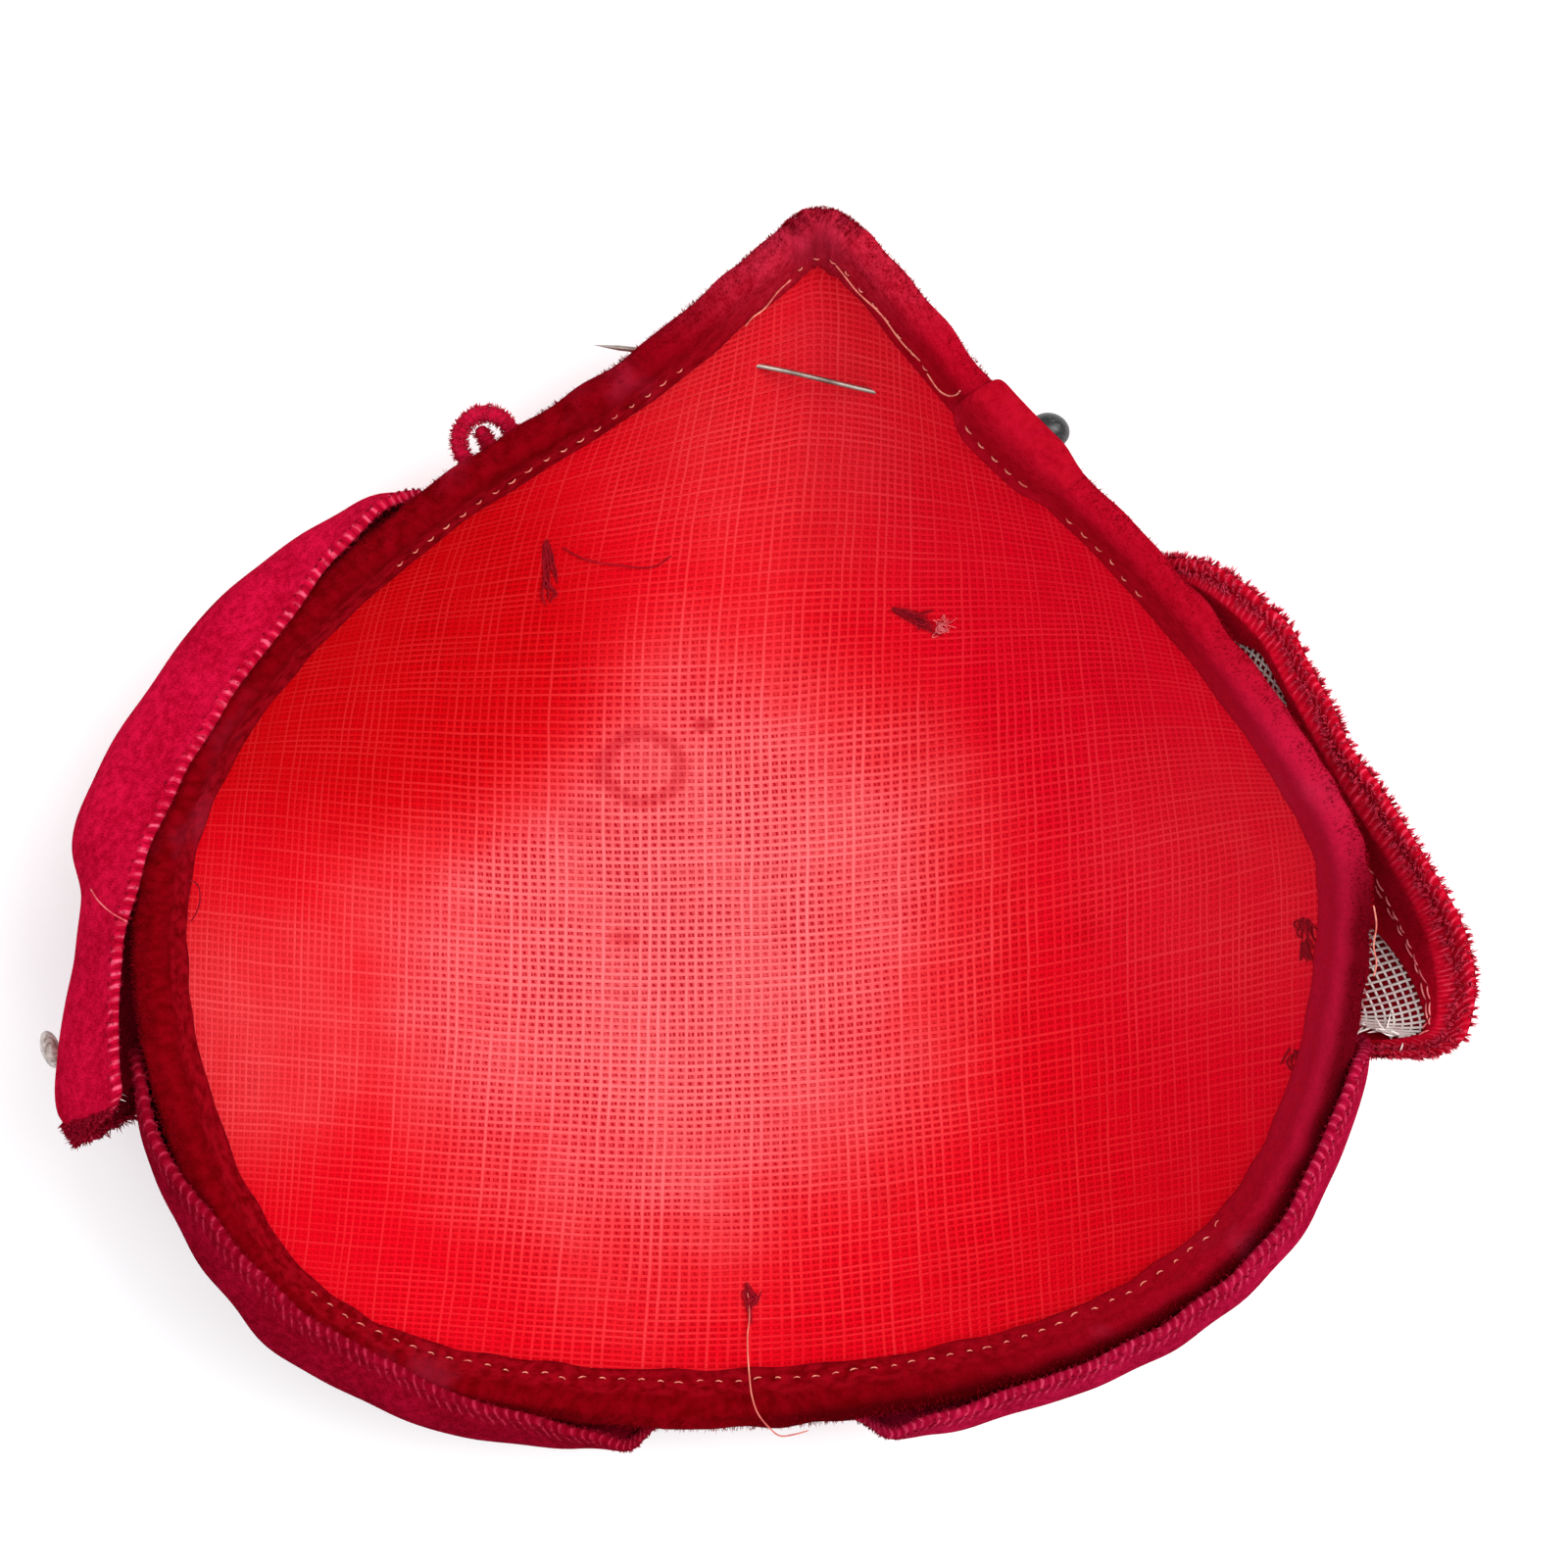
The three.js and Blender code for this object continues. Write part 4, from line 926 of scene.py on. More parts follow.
# how far each petal's corners are rounded, as a share of its length, and its sections from one end to the
# other: bearing, where its root is and how far root and hip stand off, and the belly's and the edge's
# reach and rise
PETALS = {
    "front_left": (0.1, [
        (-40, 0.45, 0.8, 1, 82, 47, 85, 55), (-45, 0.45, 0.8, 2, 87.2, 51, 85, 59),
        (-50, 0.45, 0.8, 3, 89.8, 53.5, 84.7, 61.5), (-61, 0.45, 0.8, 5, 96.3, 57, 85.2, 65.3),
        (-71.5, 0.45, 0.8, 6, 100.7, 60.5, 88, 69.2), (-81, 0.45, 0.8, 7, 105.8, 63.5, 92, 72.4),
        (-87, 0.45, 0.8, 7, 108, 64, 95.1, 73.2), (-91.5, 0.47, 0.8, 6, 106.3, 64, 97.3, 73.2),
        (-96, 0.5, 1.5, 7, 108, 63.5, 99.6, 72.8), (-100, 0.58, 4, 7, 110.9, 63, 101.6, 72.2),
        (-104.5, 0.7, 7, 9, 114.2, 62.5, 103.4, 71.6), (-108.5, 0.8, 9, 10, 116.7, 62, 104.8, 71),
        (-111.5, 0.84, 9, 10, 115.7, 61, 105.5, 70)]),
    "front_right": (0.12, [
        (51, 0.45, 1, 1.4, 81.4, 43, 85.5, 54), (54, 0.45, 0.8, 1.4, 83, 43.5, 88.6, 56),
        (58, 0.45, 0.8, 1.5, 85, 44, 91.8, 58), (64.5, 0.45, 0.8, 2, 87, 45, 95, 60),
        (71, 0.45, 0.8, 2, 89, 46, 95.9, 62), (79, 0.45, 0.8, 2.5, 93, 45, 98.9, 64),
        (86, 0.45, 0.8, 3, 97.5, 44, 104.8, 65), (91, 0.47, 0.8, 4, 101, 43, 110.3, 65.5),
        (95, 0.52, 1.5, 5, 103, 43, 114.2, 65.5), (99, 0.6, 3, 6, 104.5, 46, 116.4, 65),
        (103, 0.68, 5, 7, 105.5, 49, 116.4, 64), (106, 0.75, 7, 8, 105, 52, 113, 63)]),
    "back_left": (0.1, [
        (-104, 0.45, 0.8, 1, 101.7, 59, 101.9, 66.5), (-107, 0.45, 0.8, 1, 102.6, 60, 102.2, 68.3),
        (-114, 0.45, 0.8, 1.2, 105.2, 62, 102.4, 71), (-122.5, 0.45, 0.8, 2, 107, 61.5, 100.7, 69),
        (-129, 0.45, 0.8, 2, 107.5, 59.3, 100.3, 65.8), (-135, 0.45, 0.8, 2, 108.1, 55.8, 99.6, 62),
        (-143.5, 0.45, 0.8, 2, 106.3, 49.6, 98.3, 55.8), (-150, 0.45, 0.8, 2, 104.8, 44.5, 97.7, 51.4),
        (-156.5, 0.45, 0.8, 2, 102.2, 41, 96.6, 47.9), (-163, 0.45, 0.8, 1.5, 98.9, 38.5, 96, 45.6),
        (-167, 0.45, 0.8, 1.2, 98, 34, 98, 40.5), (-169.7, 0.45, 0.8, 1, 93.5, 24, 95.8, 31),
        (-173.5, 0.45, 0.8, 1, 87, 20, 91, 27)]),
    "back_right": (0.1, [
        (173, 0.45, 0.8, 1, 86, 20, 90, 27), (169.3, 0.45, 0.8, 1, 92.2, 24, 94.2, 31.3),
        (166.3, 0.45, 0.8, 1.2, 96.1, 34, 95.9, 40.3), (161.5, 0.45, 0.8, 1.5, 97.1, 38.5, 94.1, 45.3),
        (155, 0.45, 0.8, 2, 98.4, 41, 94.6, 48), (148, 0.45, 0.8, 2, 99.9, 45, 95.7, 51.6),
        (137.5, 0.45, 0.8, 2, 102.6, 51.5, 98.1, 58.2), (126.5, 0.45, 0.8, 1.5, 104, 58.5, 99.9, 65.2),
        (117, 0.45, 0.8, 1.2, 103.3, 62.5, 99.5, 69.8), (108, 0.45, 0.8, 1, 101.8, 63, 99.2, 72),
        (104.5, 0.45, 0.8, 1.5, 101.2, 62, 100, 70.5)]),
}


def petal_middle(name, a, b):
    """A petal's middle surface: a (count,) along it and b (count, any) from its root to its fold.

    Five lines run along it: three on the wall, from the roots to the hips, then the bellies and the
    folds. A section is the curve through the five, shortened near both ends by a quarter circle to round
    the corners."""
    corner, rows = PETALS[name]
    bearing, root, stand, hip, belly_reach, belly_rise, edge_reach, edge_rise = np.array(rows, float).T
    around = around_at(bearing)
    climbed = np.array([0, 0.5, 1])[:, None]
    wall = shell_point(around, root + (1 - root) * HIP_SHARE * climbed,
                       COVER_OUTSIDE + PETAL_THICKNESS / 2 + stand + (hip - stand) * climbed)
    angle = np.radians(bearing)
    belly, edge = (np.stack([np.sin(angle) * reach, np.cos(angle) * reach, rise], -1)
                   for reach, rise in ((belly_reach, belly_rise), (edge_reach, edge_rise)))
    lines = np.concatenate([wall, belly[None], edge[None]]).transpose(1, 0, 2)
    sections = through(lines, np.broadcast_to(a, (lines.shape[1], len(a))))
    reached = 1 - CORNER_DEPTH * (1 - quarter_round(np.minimum(a, 1 - a) / corner))
    return through(sections, b * reached[:, None])


def on_petal(name, a, b):
    """The petal's middle, its normal and its way to the fold at single places a, b (count,)."""
    return (vectors[:, 0] for vectors in petal_frame(name, a, b[:, None]))


def petal_frame(name, a, b):
    """The middle surface with its outward normal and its direction toward the fold, by small steps both
    ways."""
    middle = petal_middle(name, a, b)
    along, upward = directions(lambda a, b: petal_middle(name, a, b), a, b, 0.003)
    normal = unit(np.cross(along, upward))
    outer = np.sign((normal[..., :2] * middle[..., :2]).sum(-1).mean())
    return middle, normal * outer, unit(upward)


def petal_lengths(name, a, b):
    """u, the mm along the fold to each a, and v, the mm from the fold to each b."""
    u = length_to(petal_middle(name, a, np.ones((len(a), 1)))[:, 0])
    pieces = np.linalg.norm(np.diff(petal_middle(name, a, b), axis=1), axis=2)
    v = np.concatenate([np.cumsum(pieces[:, ::-1], axis=1)[:, ::-1], np.zeros((len(a), 1))], axis=1)
    return u, v


LENGTH_SHARES = np.linspace(0, 1, 500)


def fold_lengths(name):
    """u at each of those shares of the petal's length."""
    return petal_lengths(name, LENGTH_SHARES, np.ones((len(LENGTH_SHARES), 1)))[0]


def crowd_ends(share, crowding):
    """Shares drawn toward both ends: share - crowding * sin(2 pi share) / (2 pi)."""
    return share - crowding * np.sin(2 * np.pi * share) / (2 * np.pi)


PILE = {  # pitch of the tufts along the fold, slant of the ribs, width of the open pile
    "front_left": (2.0, -0.2, 2.2),
    "front_right": (1.45, -0.9, 4.6),
    "back_left": (1.9, -0.9, 3.4),
    "back_right": (1.7, 0.8, 3.4),
}
PETAL_COLUMNS, PETAL_ROWS = 520, 30
FOLD_SIDES = {  # how far the ridges of pile stand out on the outer and the inner face
    "front_left": (1.0, 0.6), "front_right": (0.5, 1.0), "back_left": (0.8, 1.0), "back_right": (0.8, 1.0)}
SWAY = 0.8
SWAY_WAVES = (2.6, 3.7, 5.1, 8.3, 2.1, 6.4)  # mm along the fold for each radian
ROUNDING = 1.3  # mm from a border to where the petal has its full thickness


def petal_sway(name, u, v, from_end):
    """How far a petal's faces stray outward from its middle, and the wave that says so: six sines along
    and up it."""
    phases = np.random.default_rng(len(name)).uniform(0, 6.28, len(SWAY_WAVES))
    wave = sum(np.sin(u / length + v / 18 + phase) for length, phase in zip(SWAY_WAVES, phases)) / len(phases)
    return wave * SWAY * np.exp(-v / 22) * np.minimum(from_end / 6, 1), wave


def petal_skin(name):
    """Both faces of a petal as one closed grid, its rows going up the outer face to the fold and down the
    inner one.

    A face lies half the thickness off the middle; the half falls to nothing at the borders as a quarter
    circle. Near the fold ridges of pile stand out, one each pitch, as the square root of a rectified
    sine."""
    pitch, slant, reach = PILE[name]
    a = crowd_ends(np.linspace(0, 1, PETAL_COLUMNS), 0.5)
    b = np.sin(np.pi / 2 * np.linspace(0, 1, PETAL_ROWS)) ** 0.85
    rows = np.broadcast_to(b, (PETAL_COLUMNS, PETAL_ROWS))
    middle, normal, _ = petal_frame(name, a, rows)
    u, v = petal_lengths(name, a, rows)
    from_end = np.minimum(u, u[-1] - u)[:, None]
    half = PETAL_THICKNESS / 2 * quarter_round(np.minimum(np.minimum(v, v[:, :1] - v), from_end) / ROUNDING)
    sway, wave = petal_sway(name, u[:, None], v, from_end)
    ridge = np.sqrt(np.abs(np.sin(np.pi * (u[:, None] + slant * v) / pitch + wave * 2.0)))
    band = np.clip((reach - v) / (reach * 0.4), 0, 1) * (half > 0.3)
    pile = band * (ridge * 0.05 - 0.025) * np.minimum(v / 0.5 + 0.4, 1)
    outer_share, inner_share = FOLD_SIDES[name]
    outer = middle + normal * (half + sway + pile * outer_share)[..., None]
    inner = middle - normal * (half - sway + pile * inner_share)[..., None]
    points = np.concatenate([outer, inner[:, -2:0:-1]], axis=1)
    signed = np.concatenate([v, -v[:, -2:0:-1], -v[:, :1]], axis=1)
    uv = np.stack([np.broadcast_to(u[:, None], signed.shape), signed], -1)
    return points, uv, u[-1], float(v[:, 0].mean())


def petal_material(name, deep, light, tooth_highlight, groove_shade, sheen, crease):
    """Ribbed velvet of one petal. Near the fold each rib is a light mark with a painted highlight, with
    painted shade beside it, slanted and broken up. v is signed, plus on the outer face and minus on the inner
    one, and the ribs turn round at -crease."""
    pitch, slant, reach = PILE[name]
    material, shader, uv, lean, shade, height = velvet(f"rose velvet of {name}", deep, light, sheen=sheen)
    u, v, _ = uv.parts()
    off_fold = (v + crease).one("ABSOLUTE")
    wander = (uv.noise(0.35, 2) - 0.5) * 0.9
    beside = (((u + off_fold * slant) * (1 / pitch) + wander).one("FRACT") - 0.5).one("ABSOLUTE")
    broken = uv.noise(0.7, 3, start=9.0).ramp(0.40, 0.58)
    mark = beside.ramp(0.21, 0.06) * (broken * 0.85 + 0.15) * (lean * 0.6 + 0.6)
    frayed_edge = off_fold + (uv.noise(0.9, 2) - 0.5) * 2.0
    band = frayed_edge.ramp(reach, reach * 0.55)
    # the inner face below the pile is darker: painted shade where it faces the crown
    hem = (v * -1 - reach).ramp(0.0, 1.5) * 0.3
    face = hem.mix(shade, deep)
    # each rib's mark carries a painted highlight, and the space beside it painted shade
    ribbed = mark.mix((beside.ramp(0.25, 0.5) * 0.5).mix(shade, groove_shade), tooth_highlight)
    feed(shader, Base_Color=band.mix(face, ribbed), Roughness=0.95 - lean * 0.2 + band * 0.04,
         Normal=(height + band * mark * 0.12).bump(0.0005, 0.75))
    return material


# the four petals are one velvet; the differences between their colours are painted light and shade
PETAL_COLOURS_WITH_PAINTED_LIGHT = {  # deep, light, the ribs' painted highlight and painted shade, sheen, and how far inside the fold the ribs turn round
    "front_left": (
        (0.29, 0.0006, 0.011), (0.55, 0.004, 0.038), (0.70, 0.085, 0.16), (0.12, 0.0004, 0.003), 0.03, 0.9),
    "front_right": (
        (0.30, 0.0008, 0.007), (0.50, 0.003, 0.020), (0.66, 0.045, 0.095), (0.22, 0.0005, 0.004), 0.02, 0.0),
    "back_left": (
        (0.13, 0.0004, 0.005), (0.27, 0.002, 0.017), (0.38, 0.018, 0.048), (0.13, 0.0004, 0.004), 0.02, 0.0),
    "back_right": (
        (0.22, 0.0008, 0.013), (0.42, 0.006, 0.046), (0.54, 0.040, 0.095), (0.18, 0.0006, 0.008), 0.03, 0.0),
}
# the two rose piles are one pile; the darker one is painted shade
rose_pile = pile_material("rose pile", (0.30, 0.0010, 0.009), (0.78, 0.050, 0.11))
rose_pile_in_painted_shade = pile_material("rose pile in painted shade", (0.15, 0.0005, 0.005), (0.36, 0.008, 0.030))
FOLD_TUFTS = {  # length, rows on each face, radius and pile
    "front_left": (0.45, 1, 0.09, rose_pile_in_painted_shade),
    "front_right": (1.5, 4, 0.13, rose_pile),
    "back_left": (0.40, 2, 0.09, rose_pile_in_painted_shade),
    "back_right": (0.45, 2, 0.09, rose_pile_in_painted_shade),
}
HAIRS = 8
FIRST_TUFT, LAST_TUFT = 5.5, 1.2  # mm from the petal's two ends


def fold_tufts(name, random, seed, fold_length, depth):
    """Tufts of pile in slanted rows on both faces along the fold: a few hairs from each place, one place
    each pitch in a row, all of them strayed a little. On the fold a hair stands along it and farther down
    square to the face."""
    pitch, slant, reach = PILE[name]
    length, rows, _, _ = FOLD_TUFTS[name]
    count = int(fold_length / pitch)
    at = (np.arange(count)[:, None, None] + 0.5) * pitch
    row = np.arange(-rows, rows + 1)[None, :, None] * (reach / (rows + 0.5))
    each_tuft, each_hair = (count, row.size, 1), (count, row.size, HAIRS)
    u = (at + slant * abs(row) + random.normal(0, pitch * 0.16, each_tuft)
         + random.normal(0, pitch * 0.10, each_hair))
    v = row + random.normal(0, 0.3, each_tuft) + random.normal(0, 0.12, each_hair)
    stray = np.repeat(random.normal(0, 0.28, (count * row.size, 3)), HAIRS, axis=0)
    kept = (u.ravel() > FIRST_TUFT) & (u.ravel() < fold_length - LAST_TUFT)
    u, v, stray = u.ravel()[kept], v.ravel()[kept], stray[kept]
    down = np.abs(v)
    a = np.interp(u, fold_lengths(name), LENGTH_SHARES)
    middle, normal, toward_fold = on_petal(name, a, 1 - down / depth)
    side = np.sign(v)[:, None]
    near = np.clip(1 - down / ROUNDING, 0, 1)[:, None]
    sway, _ = petal_sway(name, u, down, np.minimum(u, fold_length - u))
    roots = middle + normal * (side * (PETAL_THICKNESS / 2 * np.sqrt(1 - near**2) - 0.15) + sway[:, None])
    roots = roots - toward_fold * 0.2
    jitter = random.normal(0, 0.14, roots.shape)
    way = unit(toward_fold * (0.55 + near) + normal * side * (1 - near * 0.6) + stray + jitter)
    return tufts(roots, way, length, 0.15, seed)


END_TUFTS = {  # how many there are, from which share of the petal's length, and how long they are
    "front_left": (5200, 0.94, 2.1), "front_right": (1400, 0.985, 1.6),
    "back_left": (900, 0.995, 1.1), "back_right": (900, 0.995, 1.1)}
LOWEST_END_TUFT = 0.45
INWARD_STEP = 0.018


def end_tufts(name, random, seed):
    """The frayed pile of the petal's raw end, on both faces and round the border. Its hairs point past
    the end, out and toward the fold, and those at the very end grow longer by half a sine wave between
    the petal's borders."""
    count, start, length = END_TUFTS[name]
    b = random.uniform(LOWEST_END_TUFT, 1, count)
    side = random.uniform(-1, 1, count)[:, None]
    a = random.uniform(start, 0.998, count)
    side = np.where(a[:, None] < 0.99, np.sign(side), side)
    middle, normal, toward_fold = on_petal(name, a, b)
    inward, _, _ = on_petal(name, a - INWARD_STEP, b)
    past_end = unit(middle - inward)
    roots = middle + normal * side * (PETAL_THICKNESS / 2 * 0.7) - past_end * 0.3
    stray = random.normal(0, 0.35, roots.shape)
    way = unit(past_end * 0.8 + normal * side * 0.9 + toward_fold * 0.5 + stray)
    bulge = np.sin(np.pi * (b - LOWEST_END_TUFT) / (1 - LOWEST_END_TUFT)) * (a > 0.985)
    return tufts(roots, way, length * (0.5 + 0.8 * bulge)[:, None], 0.2, seed)


petal_pieces = {}
for number, name in enumerate(PETALS):
    skin_points, skin_uv, fold_length, depth = petal_skin(name)
    ribbed_velvet = petal_material(name, *PETAL_COLOURS_WITH_PAINTED_LIGHT[name])
    petal = grid_mesh(f"petal_{name}_velvet", skin_points, skin_uv, ribbed_velvet, close_columns=True)
    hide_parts(f"petal_{name}")

    petal_random = np.random.default_rng(30 + number)
    _, _, tuft_radius, tuft_pile = FOLD_TUFTS[name]
    pile_paths = fold_tufts(name, petal_random, 50 + number, fold_length, depth)
    pile_piece = tubes(f"petal_{name}_pile", pile_paths, TUFT_RADII * tuft_radius, 3, tuft_pile)
    end_paths = end_tufts(name, petal_random, 70 + number)
    end_pile = tubes(f"petal_{name}_end_pile", end_paths, TUFT_RADII * 0.13, 3, rose_pile_in_painted_shade)
    petal_pieces[name] = (petal, [pile_piece, end_pile], fold_length, depth)


# ---------------------------------------------------------------- turned-in hem of the front right petal
# The inner layer of this petal is turned in over the net and caught down by hand with a doubled pink
# thread. The net stays bare in a corner at the petal's end and in a short slit higher up.
HEM_THICKNESS, HEM_ROUNDING = 0.7, 0.35
HEM_START, HEM_CLIMB = 2.6, 1.6  # mm from the fold, and the mm within which it climbs onto the net
HEM_ROWS = np.array([  # share of the petal's length, and the hem edge's and the stitches' mm from the fold
    (0.0, 12, 8), (0.14, 15, 9.5), (0.25, 12, 9.5), (0.30, 6.6, 9), (0.36, 6.6, 9.5), (0.41, 14, 10),
    (0.46, 20, 10.5), (0.545, 25, 11), (0.60, 25, 10.8), (0.65, 21, 10), (0.70, 16.5, 9), (0.76, 12.5, 7.6),
    (0.82, 9, 6), (0.87, 6.8, 4.8), (0.91, 5.4, 4.1), (1.0, 5, 4.0)])
rose_thread = thread_material("rose thread", (0.46, 0.03, 0.05), (0.80, 0.24, 0.24))


def hem_offset(from_fold):
    """How far the hem's middle lies inside the petal's: it climbs over the net's edge as a smooth step."""
    return 0.9 + 1.75 * smooth_step((from_fold - HEM_START) / HEM_CLIMB)


petal, with_pieces, fold_length, depth = petal_pieces["front_right"]
hem_a = np.linspace(0.03, 0.99, 240)
hem_level, hem_side = both_faces(24)
hem_row = np.interp(hem_a, HEM_ROWS[:, 0], np.linspace(0, 1, len(HEM_ROWS)))
hem_width = through(HEM_ROWS[:, 1:2], hem_row)[:, :1] - HEM_START
hem_v = HEM_START + hem_width * hem_level
middle, normal, _ = petal_frame("front_right", hem_a, 1 - hem_v / depth)
from_edge = np.minimum(hem_level, 1 - hem_level) * hem_width
from_end = np.minimum(hem_a - hem_a[0], hem_a[-1] - hem_a)[:, None] * fold_length
half = HEM_THICKNESS / 2 * quarter_round(np.minimum(from_edge, from_end) / HEM_ROUNDING)
hem_points = middle - normal * (hem_offset(hem_v) + hem_side * half)[..., None]
hem_uv_v = -np.concatenate([hem_v, hem_v[:, :1]], axis=1)
hem_uv = np.stack([np.broadcast_to(hem_a[:, None] * fold_length, hem_uv_v.shape), hem_uv_v], -1)
hem = grid_mesh("petal_front_right_hem", hem_points, hem_uv, petal.data.materials[0], close_columns=True)
with_pieces.append(hem)


def hem_stitches(first, last, beyond, pitch, seed):
    """Hand stitches along the hem between two shares of the petal's length, a little uneven, and that far
    beyond the table's mm from the fold."""
    count = int((last - first) * fold_length / pitch)
    random = np.random.default_rng(seed)
    a = np.linspace(first, last, count) + random.normal(0, 0.0012, count)
    from_fold = np.interp(a, HEM_ROWS[:, 0], HEM_ROWS[:, 2]) + beyond + random.normal(0, 0.2, count)
    middle, normal, _ = on_petal("front_right", a, 1 - from_fold / depth)
    at = middle - normal * (hem_offset(from_fold) + HEM_THICKNESS / 2 + 0.1)[:, None]
    return stitched(at, 0.85, -normal * 0.3)


hem_paths = np.concatenate([hem_stitches(0.42, 0.93, 0.0, 4.4, 1), hem_stitches(0.50, 0.92, 0.8, 5.2, 2)])
hem_thread = tubes("petal_front_right_stitches", hem_paths, STITCH_RADII * 0.15, 5, rose_thread)
with_pieces.append(hem_thread)

# one pale thread strays over the left petal's fold
STRAY_ROUTE = np.array([
    (-104.5, -1.0, 70.5), (-102.6, -2.9, 73.2), (-100.2, -4.7, 74.7), (-97.9, -6.1, 74.0)])
stray_path = through(STRAY_ROUTE, np.linspace(0, 1, TAIL_STATIONS))
stray_thread = tubes("petal_front_left_stray_thread", stray_path[None], TAIL_RADII * 0.12, 6, rose_thread)
petal_pieces["front_left"][1].append(stray_thread)

for name, (petal, with_pieces, fold_length, depth) in petal_pieces.items():
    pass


# ---------------------------------------------------------------- net inside the front petals
# Stiff cream millinery net with diamond holes is tacked inside each front petal to hold it out. It is cut
# on the slant from two families of cotton strands that cross, and its cut edge frays.
NET_THICKNESS, NET_GAP = 0.6, 0.5
NET_OFFSET = PETAL_THICKNESS / 2 + NET_GAP + NET_THICKNESS / 2
NET_FAMILIES = ((2.0, 3.9, 0.0), (-0.5, 1.4, 0.3))  # lean, mm along the fold, and mm toward the hollow
NET_STEPS, NET_CROWDING = 24, 0.6
NETS = {  # first and last step along the petal, lowest and highest share up it, and how many ends fray
    "front_left": (17, 20, 0.75, 0.94, 40), "front_right": (7, 21.0, 0.56, 0.91, 26)}
STRAND_RADII = np.concatenate([[0], np.ones(24), [0]]) * 0.25
SHORTEST_STRAND, FRAY_LENGTH = 0.8, 3.2


def net_strands(name, first, last, low, high):
    """Two families of straight strands, u = n * spacing + lean * v in mm on the petal's inner face, each
    cut where it leaves the net's rectangle. One lies on the other."""
    _, _, _, depth = petal_pieces[name]
    u_samples = fold_lengths(name)
    ends = crowd_ends(np.array([first, last]) / NET_STEPS, NET_CROWDING)
    u_first, u_last = np.interp(ends, LENGTH_SHARES, u_samples)
    width = (high - low) * depth
    families = []
    for lean, spacing, lift in NET_FAMILIES:
        start = np.arange(u_first - width * 2, u_last + width * 2, spacing)
        enters, leaves = (u_first, u_last) if lean > 0 else (u_last, u_first)
        low_v, high_v = (np.clip((u - start) / lean, 0, width) for u in (enters, leaves))
        kept = high_v - low_v > SHORTEST_STRAND
        start, low_v, high_v = (values[kept, None] for values in (start, low_v, high_v))
        v = low_v + (high_v - low_v) * np.linspace(0, 1, len(STRAND_RADII))
        a = np.interp(start + lean * v, u_samples, LENGTH_SHARES)
        middle, normal, _ = on_petal(name, a.ravel(), (low + v / depth).ravel())
        strands = middle - normal * (NET_OFFSET - 0.1 + lift)
        families.append(strands.reshape(*v.shape, 3))
    return np.concatenate(families)


def net_frays(name, last, high, count):
    """Short cream ends past the net's cut edge, from its upper corner at the petal's end, each bent its
    own way."""
    random = np.random.default_rng(count)
    a = crowd_ends(last / NET_STEPS - 0.02 * random.uniform(0, 1, count), NET_CROWDING)
    b = high - random.uniform(0, 0.30, count)
    middle, normal, toward_fold = on_petal(name, a, b)
    inward, _, _ = on_petal(name, a - 0.02, b)
    past_end = unit(middle - inward)
    way = unit(past_end * 0.9 + toward_fold * 0.5 - normal * 0.5 + random.normal(0, 0.45, middle.shape))
    return tufts(middle - normal * NET_OFFSET, way, FRAY_LENGTH, 1.0, count)


net_cotton, net_shader, uv = new_material("cream net", Specular_IOR_Level=0.3, Sheen_Weight=0.2,
                                          Sheen_Roughness=0.4)
number, share, _ = uv.parts()
grime = (number * 0.31).vector(share * 3, 0.0).noise(1.0, 3)
feed(net_shader, Base_Color=grime.ramp(0.35, 0.75).mix((1.0, 0.95, 0.88), (0.88, 0.66, 0.68)),
     Roughness=0.7 + grime * 0.15, Normal=(share * 40).one("FRACT").bump(0.00008, 0.4))
for name, (first, last, low, high, fray_count) in NETS.items():
    net = tubes(f"net_{name}_strands", net_strands(name, first, last, low, high), STRAND_RADII, 4, net_cotton)
    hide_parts(f"net_{name}")
    fray_paths = net_frays(name, last, high, fray_count)
    frays = tubes(f"net_{name}_frays", fray_paths, TUFT_RADII * 0.20, 4, net_cotton)


# ---------------------------------------------------------------- trimming loop
# A cord of the same ribbed velvet makes an open loop beside the left straight side. It comes out from
# under the binding and goes back there, and its knotted end lies below it.
CORD_RADIUS = 1.4
LOOP_ROUTE = np.array([(-45.1, 66.7, 45), (-48.6, 70.6, 45.6), (-48.3, 74.6, 46), (-45.3, 76.8, 46),
                       (-41.9, 76.1, 46), (-38.9, 72.3, 45.4)])
KNOT_ROUTE = np.array([(-42.3, 68.9, 43.35), (-44.0, 71.6, 43.65), (-45.7, 74.9, 44.25)])
RIB_PITCH = 1.05
HAIRS_PER_MM = 34


def ribbed_cord(name, route, stations, node):
    """A cord along a route whose radius swells at each rib as the root of a rectified sine, with pile
    round it."""
    path = through(route, np.linspace(0, 1, stations))
    run = length_to(path)
    radius = CORD_RADIUS * (0.80 + 0.2 * np.sqrt(np.abs(np.sin(np.pi * run / RIB_PITCH))))
    radius = radius * quarter_round(np.minimum(run, run[-1] - run) / CORD_RADIUS)
    cord = tubes(name, path[None], radius[None], 20, cord_velvet)
    count = int(run[-1] * HAIRS_PER_MM)
    random = np.random.default_rng(stations)
    spot = random.uniform(0.04, 0.96, count)
    ahead = unit(through(route, spot + 0.002) - through(route, spot - 0.002))
    spoke = unit(np.cross(ahead, random.normal(0, 1, (count, 3))))
    roots = through(route, spot) + spoke * (CORD_RADIUS * 0.9)
    hair = tubes(f"{name}_pile", tufts(roots, spoke, 0.62, 0.12, count), TUFT_RADII * 0.11, 3, rose_pile)
    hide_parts(node)


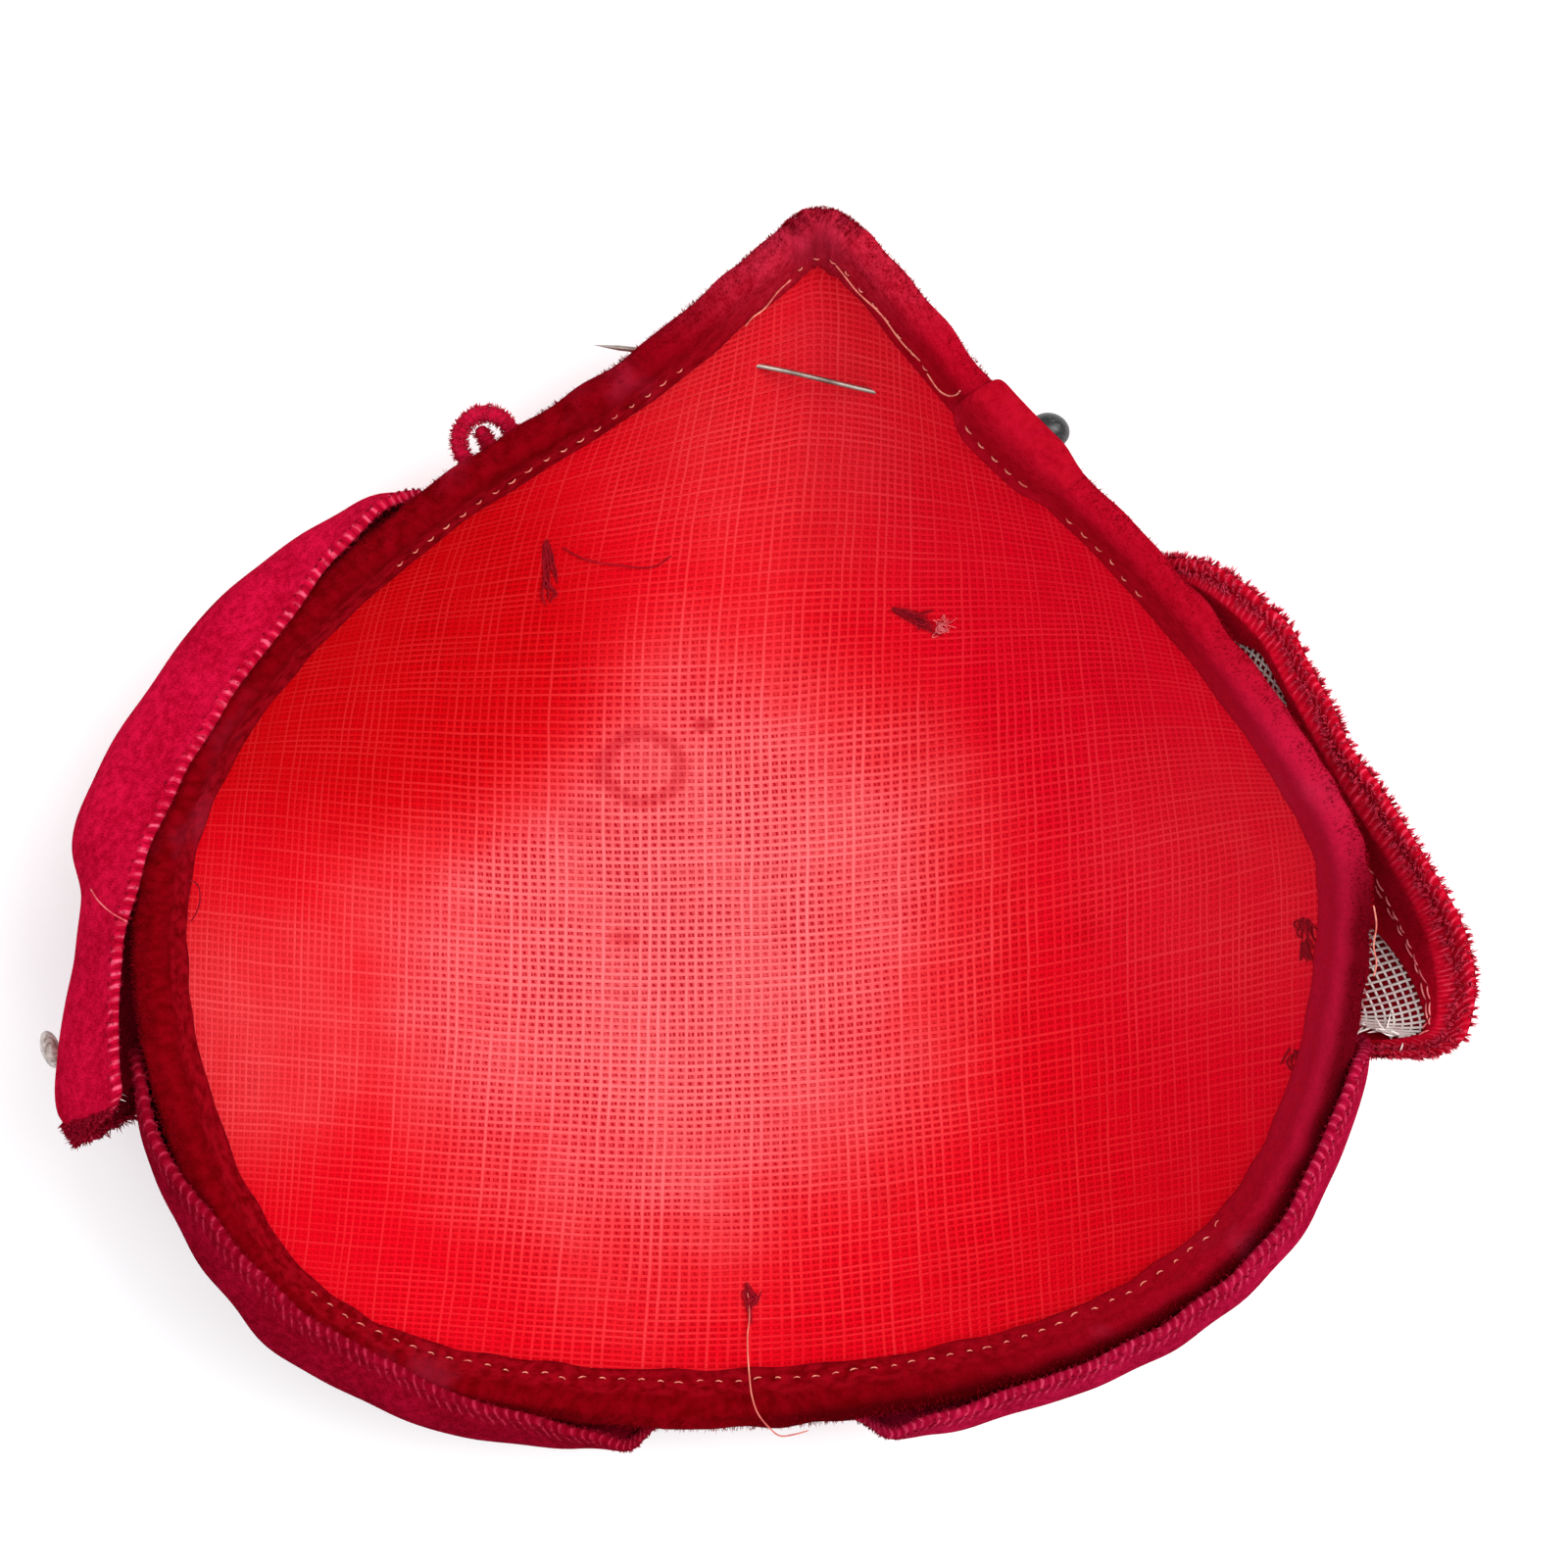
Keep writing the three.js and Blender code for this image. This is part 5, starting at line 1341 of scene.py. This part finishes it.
cord_velvet, cord_shader, place = new_material(
    "ribbed rose cord", "Object", Specular_IOR_Level=0.03, Sheen_Weight=0.04, Sheen_Roughness=0.45,
    Sheen_Tint=(1.0, 0.2, 0.3, 1))
nap = place.noise(900, 3) * 0.6 + place.noise(250, 2) * 0.4
feed(cord_shader, Base_Color=nap.ramp(0.3, 0.7).mix((0.22, 0.0006, 0.008), (0.48, 0.004, 0.035)),
     Roughness=0.95 - nap * 0.15, Normal=nap.bump(0.0003, 0.7))
ribbed_cord("trim_loop_cord", LOOP_ROUTE, 220, "trim_loop")
ribbed_cord("trim_knot_cord", KNOT_ROUTE, 90, "trim_knot")


# ---------------------------------------------------------------- hat pins
# Two steel pins hold the hat together in storage: one with a glossy black bead runs through the point
# from the right, slightly bent, and one with a small worn pearl-grey head is stuck in the left petal.
PIN_RADIUS = 0.45


def turned(name, start, end, profile, material, node):
    """A body turned about the line from start to end: profile is (share along it, radius in mm), closed
    by zeros."""
    share, radius = np.array(profile).T
    path = np.array(start) + (np.array(end) - np.array(start)) * share[:, None]
    piece = tubes(name, path[None], radius[None], 32, material)
    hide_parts(node)


steel, steel_shader, place = new_material("pin steel", "Object", Metallic=1.0, Specular_IOR_Level=0.5)
drawn = place.noise(2200, 2, stretch=(6, 1, 1))
tarnish = place.noise(260, 4)
feed(steel_shader, Base_Color=tarnish.ramp(0.35, 0.7).mix((0.40, 0.35, 0.31), (0.16, 0.12, 0.10)),
     Roughness=0.38 + tarnish * 0.3, Normal=drawn.bump(0.00003, 0.4))
jet, jet_shader, place = new_material("black glass", "Object", Specular_IOR_Level=0.4, Coat_Weight=0.15,
                                      Coat_Roughness=0.2)
dust = place.noise(1500, 3)
feed(jet_shader, Base_Color=dust.ramp(0.5, 0.8).mix((0.006, 0.007, 0.008), (0.07, 0.06, 0.06)),
     Roughness=0.28 + dust * 0.25, Normal=dust.bump(0.00003, 0.3))
pearl, pearl_shader, place = new_material("worn pearl", "Object", Specular_IOR_Level=0.5, Coat_Weight=0.3,
                                          Coat_Roughness=0.2)
worn = place.noise(900, 4)
feed(pearl_shader, Base_Color=worn.ramp(0.35, 0.65).mix((0.60, 0.50, 0.46), (0.22, 0.16, 0.14)),
     Roughness=0.25 + worn * 0.4, Normal=worn.bump(0.0001, 0.5))

FRONT_ROUTE = np.array([(50.1, 75.7, 30.5), (20.3, 82.1, 32.5), (0, 86.5, 33.5), (-27.4, 89.8, 34.5)])
BEAD_RADIUS, BEAD_HALF = 3.1, 3.6
TAPER = 4.5
bead = FRONT_ROUTE[0]
bead_way = unit(FRONT_ROUTE[1] - bead)
front_route = np.concatenate([[bead + bead_way * (BEAD_HALF + GAP)], FRONT_ROUTE[1:]])
front_path = through(front_route, np.linspace(0, 1, 120))
from_tip = np.linalg.norm(front_path - front_path[-1], axis=1)
front_radius = PIN_RADIUS * np.minimum(from_tip / TAPER, 1)
front_radius[0] = 0
front_shaft = tubes("hatpin_front_steel", front_path[None], front_radius[None], 16, steel)
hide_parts("hatpin_front_shaft")
oval = np.linspace(0, np.pi, 34)
oval_profile = np.stack([(1 - np.cos(oval)) / 2, np.sin(oval)], -1)
turned("hatpin_front_glass", bead - bead_way * BEAD_HALF, bead + bead_way * BEAD_HALF,
       oval_profile * (1, BEAD_RADIUS), jet, "hatpin_front_bead")

SIDE_HEAD, SIDE_TIP = np.array((-116.9, -28.6, 44)), np.array((-82.9, -18, 34))
HEAD_RADIUS, HEAD_HALF = 3.2, 1.6
side_way = unit(SIDE_TIP - SIDE_HEAD)
turned("hatpin_side_pearl", SIDE_HEAD - side_way * HEAD_HALF, SIDE_HEAD + side_way * HEAD_HALF,
       oval_profile * (1, HEAD_RADIUS), pearl, "hatpin_side_head")
turned("hatpin_side_steel", SIDE_HEAD + side_way * (HEAD_HALF + GAP), SIDE_TIP,
       [(0, 0), (0.001, PIN_RADIUS), (0.85, PIN_RADIUS), (1, 0)], steel, "hatpin_side_shaft")
